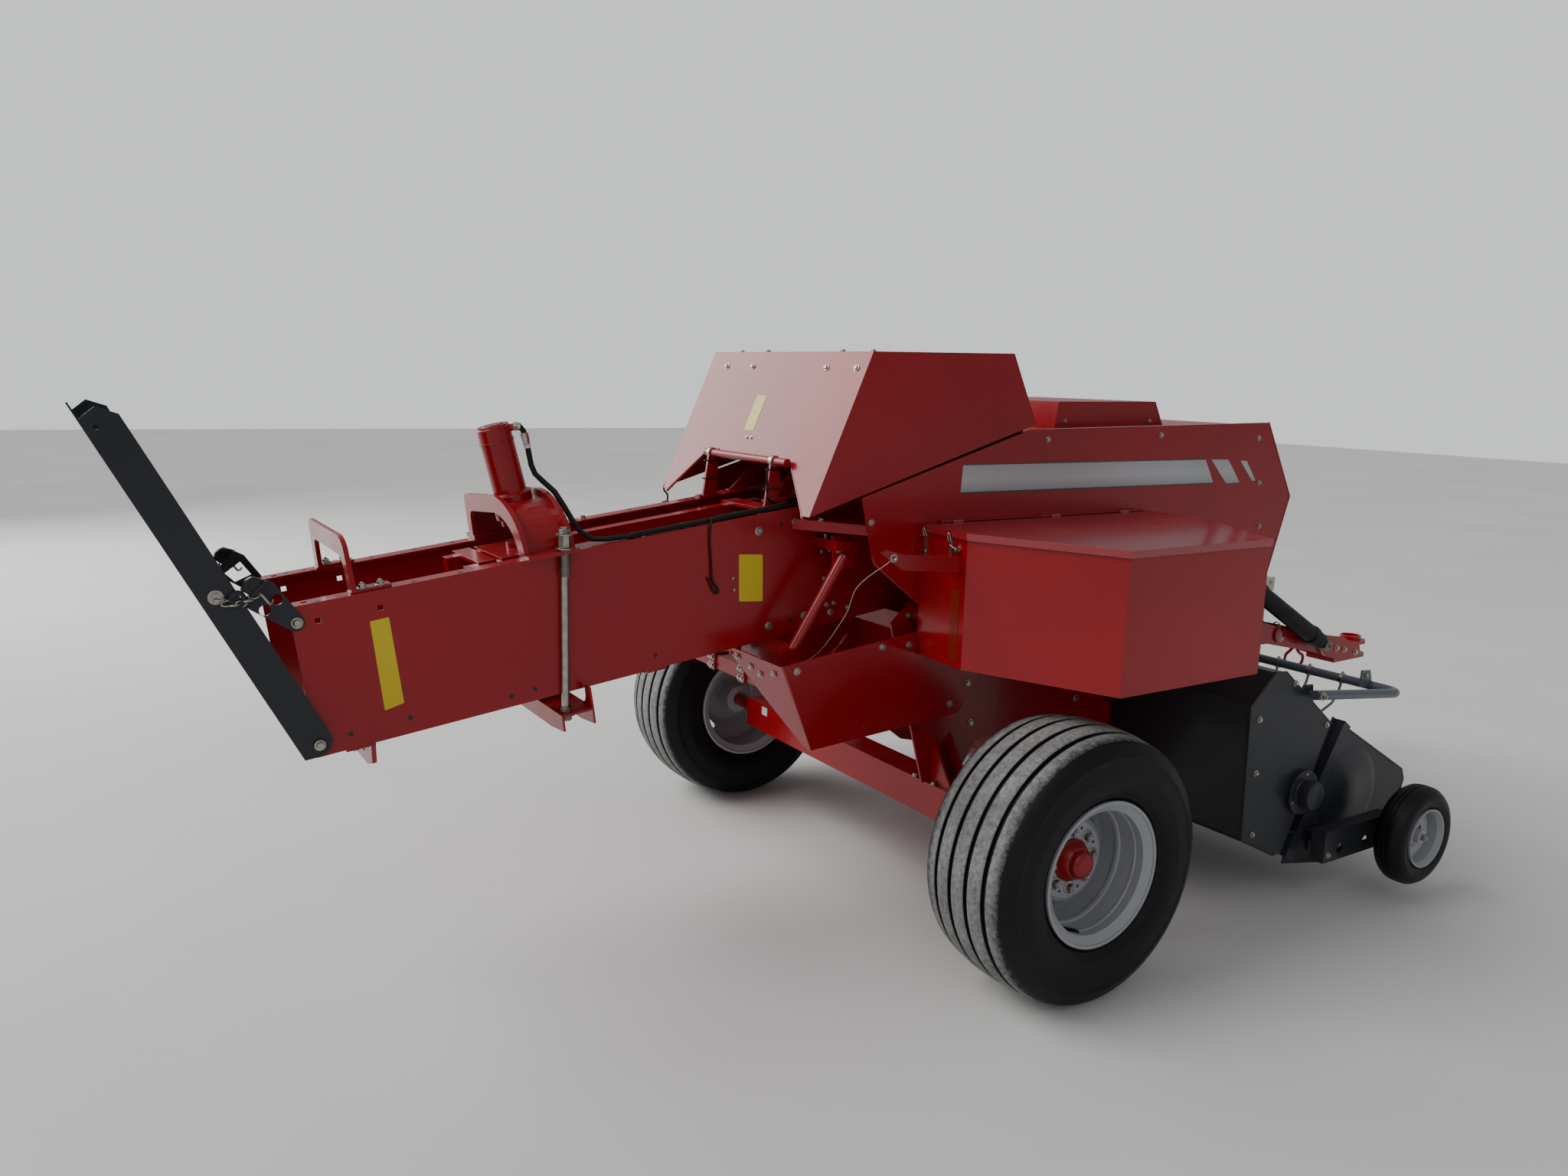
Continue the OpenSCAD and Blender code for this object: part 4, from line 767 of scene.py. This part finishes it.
def knotter_details():
    """Tying gear under the hood: a cam disc, a bill hook stand and twine fingers at each of the two places."""
    iron = Piece("knotter_castings", IRON)
    steel = Piece("knotter_fittings", ZINC)
    for side, axis in BOTH_WAYS:
        y0 = side * 87
        c = at(-70, y0 + side * 10, 1540)
        iron.lathe(c, axis, [(18.5, -2), (72, -2), (74, 2), (74, 8), (62, 9), (58, 5), (34, 5), (30, 18),
                             (18.5, 18)], 40, closed=True)
        for i in range(24):
            p = c + around(2 * math.pi * i / 24) * 0.0735 + axis * 0.005
            steel.tube([p - axis * 0.006, p + axis * 0.006], 3.4, 6)
        foot = at(-150, y0 + side * 26, 1400)
        iron.slab([foot + Vector((dx, 0, dz))
                   for dx, dz in ((-0.06, -0.045), (0.06, -0.035), (0.05, 0.02), (0.02, 0.05),
                                  (0.03, 0.11), (-0.01, 0.12), (-0.03, 0.05), (-0.055, 0.02))], axis * 0.018)
        steel.tube([foot + Vector((-0.05, side * 0.03, 0.0)), foot + Vector((-0.10, side * 0.02, 0.03)),
                    foot + Vector((-0.12, 0.0, 0.01)), foot + Vector((-0.13, -side * 0.01, -0.025))], 5, 8, 4)
        for k in range(3):
            steel.lathe(foot + Vector((0.0, side * (0.024 + 0.012 * k), 0.02)), axis,
                        [(0, 0), (26 - 4 * k, 0), (26 - 4 * k, 6), (0, 6)], 20)
        steel.bolts(in_plane(y0 + side * 44.2, ((-180, 1372), (-110, 1380), (-150, 1425))), axis, 7)
    for side, out in BOTH_WAYS:
        y = side * 202
        steel.lathe(at(-70, y + side * 8.2, 1540), out,
                    [(18.5, 0), (34, 0), (34, 12), (28, 15), (18.5, 15)], 24, closed=True)
        steel.bolts(in_plane(y + side * 8.1, ((-120, 1420), (-40, 1430), (-80, 1490))), out, 8)
    iron.done(0.8)
    steel.done()
    frame_bits = Piece("cross_tube_fittings", ZINC)
    for y in (-191, 191):
        frame_bits.lathe(at(-522, y, 1462), across(1), [(12.2, -9), (17, -9), (17, 9), (12.2, 9)], 20, closed=True)
    frame_bits.done()
    stays = Piece("knotter_stays", RED)
    for side in (-1, 1):
        foot, head = at(-470, side * 130, 1338), at(-330, side * 104, 1490)
        stays.slab(rounded([foot + Vector((-0.035, 0, -0.006)), foot + Vector((0.035, 0, 0.004)),
                            head + Vector((0.016, 0, 0)), head + Vector((-0.016, 0, 0))], 8),
                   across(side * 0.008))
        stays.slab([at(-515, side * y, 1331) for y in (112, 156)] + [at(-425, side * y, 1342) for y in (156, 112)],
                   Vector((-0.001, 0, 0.008)))
        stays.tube([at(-522, side * 186, 1462), at(-420, side * 150, 1500), at(-330, side * 112, 1484)], 7, 10)
    stays.tube([at(-330, -112, 1486), at(-330, 112, 1486)], 10, 14)
    stays.done(0.8)
    wires = Piece("knotter_ties", PLASTIC)
    for side in (-1, 1):
        for z in (1378, 1436):
            x = -533 + (z - 1340) * 0.09
            wires.tube([at(x + dx, side * y, z + dz)
                        for dx, y, dz in ((-22, 184, 0), (-22, 198, 1), (22, 198, 2), (22, 184, 1), (-22, 184, 0))],
                       2.0, 6, 3)
    wires.tube([at(-548, -199, 1448), at(-552, -203, 1400), at(-545, -200, 1352), at(-520, -196, 1338)], 3.2, 8, 5)
    wires.tube([at(-560, 452, 1338), at(-566, 448, 1318), at(-556, 440, 1300), at(-560, 436, 1276)], 3.4, 8, 5)
    wires.done()


def density_details():
    zinc = Piece("tension_rod_fittings", ZINC)
    x = -TIE_BACK
    low = chamber_floor(x)
    top = low + CHAMBER_H / math.cos(SLOPE)
    for side in (-1, 1):
        y = side * (HALF_W + 15.6)
        c = at(x, y, 0)
        for z in (top + 51.5, top + 13.5, low - 56.5):
            zinc.lathe(c + Vector((0, 0, z / 1000)), SKYWARD, [(15.3, 0), (24, 0), (24, 3.2), (15.3, 3.2)], 24,
                       closed=True)
        # Thread near the two ends
        for z0, z1 in ((top + 52, top + 71), (top - 60, top + 12), (low - 70, low - 30)):
            n = int((z1 - z0) / 3.4)
            for k in range(n):
                z = (z0 + 3.4 * k) / 1000
                zinc.lathe(c + Vector((0, 0, z)), SKYWARD, [(14.9, 0), (16.0, 1.0), (14.9, 2.0)], 20)
    zinc.done()
    red = Piece("cylinder_collars", RED)
    lean = SLOPE + math.radians(7.0)
    up = Vector((-math.sin(lean), 0, math.cos(lean)))
    base = on_chamber(664, 0, CHAMBER_H + 62.3)
    red.lathe(base + up * 0.2665, up, [(43, 0), (45.5, 1.5), (46.5, 3.5), (45.5, 5.5), (43, 7)], 40)
    red.lathe(base + up * 0.0822, up, [(46.2, 0), (57, 0), (58, 1.2), (57, 4), (50, 6.5), (46.2, 9)], 40)
    red.lathe(base + up * 0.2785, up, [(0, 0), (30, 0), (28, 1.6), (0, 1.6)], 32)
    red.done()
    # Elbow and hexagon fitting at the port, clamps along the hose
    port = on_chamber(686.5, -26, 711.6)
    fit = Piece("hose_fittings", ZINC)
    way = (on_chamber(697, -31, 709) - port).normalized()
    fit.lathe(port - way * 0.006, way, [(0, 0), (13, 0), (13, 10), (11, 12), (0, 12)], 6)
    fit.lathe(port + way * 0.004, way, [(10.5, 0), (10.5, 9), (9.2, 10)], 16)
    down = (on_chamber(708, -40, 635) - on_chamber(703, -34, 698)).normalized()
    fit.lathe(on_chamber(704, -34.6, 692), down, [(8.6, 0), (11, 1), (11, 20), (9.6, 22), (9.6, 34), (8.6, 35)], 6)
    end = on_chamber(1561, -221, CHAMBER_H + 8.3)
    fit.lathe(end, CHAMBER_ALONG, [(8.6, 0), (11.5, 1), (11.5, 14), (13, 15), (13, 27), (0, 27)], 6)
    fit.done()
    band = Piece("hose_bands", PALE_BAND)
    a, b = on_chamber(707, -36, 670), on_chamber(708, -40, 635)
    band.lathe(a + (b - a) * 0.25, (b - a).normalized(), [(8.3, 0), (9.0, 0.5), (9.0, 12), (8.3, 12.5)], 20)
    band.done()
    ties = Piece("hose_clips", PLASTIC)
    for s in (905, 1060, 1240, 1420):
        c = on_chamber(s, -221.5, CHAMBER_H + 8.3)
        ties.lathe(c - CHAMBER_ALONG * 0.004, CHAMBER_ALONG, [(8.1, 0), (9.4, 0.4), (9.4, 7.6), (8.1, 8)], 18)
    # Thin cable hanging at the chamber's side
    ties.tube([at(x, y, z) for x, y, z in ((-747, -226, 1304), (-760, -238, 1288), (-762, -239, 1247),
                                           (-757, -239.5, 1175), (-752, -240, 1126), (-732, -240, 1096),
                                           (-745, -240, 1090), (-768, -240, 1136))], 3.0, 8, 6)
    ties.tube([at(-747, -226, 1304), at(-700, -200, 1310), at(-600, -204, 1322), at(-480, -210, 1338)], 3.0, 8, 5)
    ties.done()


chamber_details()
panel_details()
guard_details()
knotter_details()
density_details()


# ---------------------------------------------------------------- chute, hitch, jack, shaft and pickup
def chute_details():
    zinc = Piece("chute_chain", ZINC)
    # Eye bolts beside the chute and the short chains to the two hangers
    for side, out in BOTH_WAYS:
        eye = at(-2050, side * 262, 1184)
        zinc.lathe(at(-2050, side * 252.3, 1184), out, [(6, 0), (17, 0), (17, 2.4), (10, 3), (10, 10), (4, 10),
                                                        (4, 4), (0, 4)], 24)
        hook = at(-1962, side * 251, 1188)
        n = 6
        for i in range(n):
            t = (i + 0.5) / n
            p = eye.lerp(hook, t) - Vector((0, 0, 0.022 * math.sin(math.pi * t)))
            way = (hook - eye).normalized()
            flip = SKYWARD if i % 2 else out
            turns = [2 * math.pi * k / 12 for k in range(13)]
            ring = [p + way * 0.0125 * math.cos(a) + flip * 0.0065 * math.sin(a) for a in turns]
            zinc.tube(ring, 2.3, 6)
        # Wire bail in the hanger's window
        zinc.tube([at(-1962, side * 250, 1192), at(-1950, side * 262, 1178), at(-1936, side * 258, 1160),
                   at(-1928, side * 248, 1168)], 3.2, 8, 5)
    zinc.done()
    black = Piece("chute_catches", BLACK)
    for side, out in BOTH_WAYS:
        for x, z in ((-1972, 1204), (-2006, 1176)):
            c = at(x, side * 250, z)
            black.lathe(c, out, [(10, -8), (19, -8), (21, -5), (21, 8), (18, 11), (10, 11)], 20, closed=True)
        black.slab(rounded(in_plane(side * 246, ((-2000, 1196), (-1975, 1228), (-1936, 1214), (-1962, 1178))), 8),
                   across(side * 0.012))
    black.done(0.8)


def jack_details():
    crank = Piece("jack_crank", ZINC)
    x, y = 2320, 128
    crank.tube([at(x + 52, y, 838), at(x + 92, y, 838)], 8, 12)
    crank.tube([at(x + 86, y, 838), at(x + 92, y, 838), at(x + 96, y + 8, 838), at(x + 97, y + 118, 838)], 7, 12, 4)
    crank.lathe(at(x + 52, y, 838), Vector((1, 0, 0)), [(8, 0), (17, 0), (17, 6), (8, 8)], 20)
    crank.bolt(at(x - 20, y - 36.2, 838), RIGHT_OUT, 6)
    crank.bolt(at(x + 24, y - 36.2, 838), RIGHT_OUT, 6)
    crank.lathe(at(x, y, 861.5), SKYWARD, [(26, 0), (26, 2), (22, 5), (0, 6)], 24)
    crank.done()
    grip = Piece("jack_grip", PLASTIC)
    grip.lathe(at(x + 97, y + 112, 838), Vector((1, 0, 0)),
               [(0, -8), (9, -8), (13, 0), (14, 20), (13, 62), (9, 70), (0, 71)], 20)
    grip.done()
    rings = Piece("jack_collars", BEIGE)
    r = JACK_D / 2
    for z in (290, 560, 648, 790):
        rings.lathe(at(x, y, z), SKYWARD, [(r - 0.4, 0), (r + 3, 1), (r + 3, 9), (r - 0.4, 10)], 32)
    rings.done()


def hitch_details():
    zinc = Piece("hitch_bolts", ZINC)
    for side, out in BOTH_WAYS:
        zinc.bolts(in_plane(side * 72.2, ((2556, 551), (2650, 533), (2710, 520), (2802, 498))), out, 11)
    zinc.done()
    lens = Piece("reflector_lens", LENS)
    c = at(2217, -66.1, 638)
    lens.lathe(c, RIGHT_OUT, [(36, 0), (36, 2.4), (33, 4), (0, 5)], 40)
    lens.done()
    cable = Piece("drawbar_cable", PLASTIC)
    pts = [(1500, -30, 914), (1640, -34, 905), (1850, -38, 820), (2060, -40, 717), (2230, -42, 674),
           (2420, -40, 632), (2540, -46, 612)]
    cable.tube([at(*p) for p in pts], 5.0, 8, 8)
    cable.tube([at(x, y + 16, z + 0.6) for x, y, z in pts], 4.0, 8, 8)
    for x, y, z in pts[1:-1]:
        cable.lathe(at(x, y + 8, z), Vector((0.9, 0, -0.35)), [(13.4, -5), (15.2, -4), (15.2, 4), (13.4, 5)], 20)
    cable.done()


def shaft_details():
    black = Piece("shaft_guard_details", PLASTIC)
    a, b = SHAFT_A, SHAFT_B
    way = (b - a).normalized()
    for k in range(6):
        r = 75.6 - k * 0.2
        black.lathe(a + way * (-0.020 + 0.014 * k), way, [(r - 0.8, 0), (r + 2.2, 2), (r + 2.2, 6), (r - 0.8, 8)],
                    40)
    length = (b - a).length
    r = SHAFT_D / 2
    for t in (0.16, 0.46, 0.52, 0.93):
        black.lathe(a + way * length * t, way, [(r - 0.3, 0), (r + 5, 2), (r + 5, 22), (r - 0.3, 26)], 36)
    black.done()
    steel = Piece("shaft_fork", SPRING)
    steel.lathe(b + way * 0.018, way, [(0, 0), (26, 0), (26, 4), (21, 8), (21, 18), (0, 18)], 24)
    u, v = basis(way)[:2]
    for w in (-1, 1):
        c = b + way * 0.030 + u * (0.022 * w)
        steel.slab(rounded([c + v * p + way * q for p, q in ((-0.022, -0.01), (0.022, -0.01),
                                                             (0.022, 0.022), (-0.022, 0.022))], 9), u * (0.008 * w))
    steel.tube([b + way * 0.042 - u * 0.030, b + way * 0.042 + u * 0.030], 8, 16)
    steel.done(0.6)


def pickup_details():
    zinc = Piece("pickup_bolts", ZINC, "pickup_body")
    dark = Piece("pickup_trim", DARK, "pickup_body")
    for side, out in BOTH_WAYS:
        y = side * 971.1
        zinc.bolts(in_plane(y, ((812, 686), (820, 508), (832, 300), (980, 784), (1176, 618))), out, 7.5)
        for i in range(3):
            a = 2 * math.pi * i / 3 + 1.45
            zinc.bolt(at(AUGER_X + 62 * math.cos(a), side * 984.2, AUGER_Z + 62 * math.sin(a)), out, 5.5)
        # Cap of the auger bearing
        cap = at(AUGER_X, side * 965, AUGER_Z)
        dark.lathe(cap, out, [(74.5, 19), (75.8, 20.5), (75.8, 22), (70, 23), (50, 24), (47.2, 27), (47, 60),
                              (45, 63.5), (38, 66), (0, 67.5)], 40)
        # Folded edges of the cover and of the reel plate
        cover = [(874, 830), (930, 825), (1200, 620), (1122, 463), (990, 205), (956, 205), (782, 289), (765, 735),
                 (874, 830)]
        dark.tube(in_plane(side * 967.5, cover), 4.6, 8)
        reel = [(1270, 618), (1735, 361), (1752, 322), (1742, 285), (1600, 170), (1360, 86), (1070, 140)]
        dark.tube(in_plane(side * 932, reel), 4.6, 8)
        # Bracket plate, height adjuster and bolts of the gauge arm
        dark.slab(rounded(in_plane(side * 935.2, ((1183, 245), (1197, 161), (1301, 118), (1400, 130), (1400, 215))),
                          10), out * 0.006)
        zinc.bolts(in_plane(side * 941.3, ((1215, 196), (1300, 150), (1372, 152))), out, 8)
        zinc.bolt(at(1136, side * 1050.2, 196), out, 8)
        # Pressed housing of the reel bearing
        dark.lathe(at(REEL_X, side * 934.8, REEL_Z), out,
                   [(168, 0), (160, 1.2), (148, 3.6), (136, 5), (60, 6), (52, 9), (0, 10)], 64)
    # Rivets of the stripper bands along the cross bars
    for z in (-1, 1):
        for i in range(BANDS):
            y = -BAND_EDGE + i * BAND_STEP
            zinc.lathe(at(REEL_X - BAND_TIE - 22, y, REEL_Z + z * (BAND_TIE + 8)), Vector((0, 0, z)),
                       [(6, 0), (5.6, 1.6), (4, 3), (0, 3.6)], 10)
    # Beam along the back of the pickup: bolt row
    for i in range(9):
        y = -880 + i * 220
        zinc.bolt(at(900, y, 812.2), SKYWARD, 7)
    zinc.done()
    dark.done()
    # Coils at the root of each tine
    coils = Piece("tine_coils", SPRING, "reel_body")
    for i in range(TINE_BARS):
        a = 2 * math.pi * i / TINE_BARS
        c = at(REEL_X, 0, REEL_Z) + around(-a) * 0.118
        for j in range(BANDS - 1):
            y = (-BAND_EDGE + (j + 0.5) * BAND_STEP) / 1000
            for k in (-2, -1, 1, 2):
                coils.lathe(c + Vector((0, y + k * 0.0072, 0)), across(1),
                            [(15.2, -3.2), (18.6, -2.4), (19.4, 0), (18.6, 2.4), (15.2, 3.2)], 14)
    coils.done()
    guard = Piece("guard_tine_clips", ZINC, "guard_body")
    r = GUARD_D / 2
    for i in range(GUARD_TINES):
        y = -TINE_EDGE + i * TINE_STEP
        guard.lathe(at(GUARD_X, y, GUARD_Z), across(1), [(r - 0.2, -7), (r + 3, -6.5), (r + 3, 6.5), (r - 0.2, 7)])
        guard.bolt(at(GUARD_X, y, GUARD_Z + r + 2.5), SKYWARD, 5.5, washer=False, nut=True)
    for side, out in BOTH_WAYS:
        guard.bolt(at(GUARD_X - 33, side * 884, GUARD_Z + 40), out, 8)
        guard.bolt(at(1062, side * (PICKUP_HALF + 20 + GUARD_D + 0.3), 741), out, 10, nut=True)
    guard.done()


def axle_details():
    zinc = Piece("axle_bolts", ZINC)
    for side in (-1, 1):
        for x in (-48, 48):
            for y in (340, 430):
                zinc.bolt(at(x, side * y, TYRE_R + 55.5), SKYWARD, 9)
    zinc.done()
    plate = Piece("axle_plate", PALE_BAND)
    plate.slab(rounded([at(-55.6, y, z) for y, z in ((566, 440), (604, 440), (604, 408), (566, 408))], 3),
               Vector((-0.0006, 0, 0)))
    plate.done()


chute_details()
jack_details()
hitch_details()
shaft_details()
pickup_details()
axle_details()


# ---------------------------------------------------------------- floor and light
def stage_floor():
    bpy.ops.mesh.primitive_plane_add(size=60, location=(0, 0, 0))
    floor = bpy.context.object
    floor.name = "floor"
    g = Graph("floor")
    shade = g.ramp(g.noise(0.6, 4.0), (0.3, (0.66, 0.65, 0.63)), (0.7, (0.72, 0.71, 0.69)))
    g.set("Base Color", shade)
    g.set("Roughness", 0.9)
    floor.data.materials.append(g.mat)


stage_floor()
world = bpy.data.worlds.new("studio")
scene.world = world
world.use_nodes = True
tree = world.node_tree
tree.nodes.clear()
sky, light, pale, mixer, rays = [tree.nodes.new("ShaderNode" + kind) for kind in (
    "OutputWorld", "Background", "Background", "MixShader", "LightPath")]
# The machine is lit by the first background, the camera sees the second.
for shade, color, strength in ((light, (0.93, 0.96, 1.0, 1), 0.34), (pale, (0.86, 0.88, 0.90, 1), 1.0)):
    shade.inputs[0].default_value = color
    shade.inputs[1].default_value = strength
tree.links.new(rays.outputs["Is Camera Ray"], mixer.inputs[0])
tree.links.new(light.outputs[0], mixer.inputs[1])
tree.links.new(pale.outputs[0], mixer.inputs[2])
tree.links.new(mixer.outputs[0], sky.inputs[0])


def add_light(name, kind, power, turn):
    data = bpy.data.lights.new(name, kind)
    data.energy = power
    o = bpy.data.objects.new(name, data)
    scene.collection.objects.link(o)
    o.rotation_euler = turn.to_euler()
    return o


for name, place, power, spread in (("key", (-6.0, 2.5, 6.5), 1.7, 35), ("side", (-3.0, -7.0, 5.0), 0.35, 40)):
    add_light(name, "SUN", power, Vector(place).to_track_quat("Z", "Y")).data.angle = math.radians(spread)
CARD_AT, CARD_AIM = Vector((-5.0, 8.5, 5.5)), Vector((-0.5, 0, 1.5))
card = add_light("sky_card", "AREA", 700, (CARD_AIM - CARD_AT).to_track_quat("-Z", "Y"))
card.location = CARD_AT
card.data.shape = "DISK"
card.data.size = 8.0
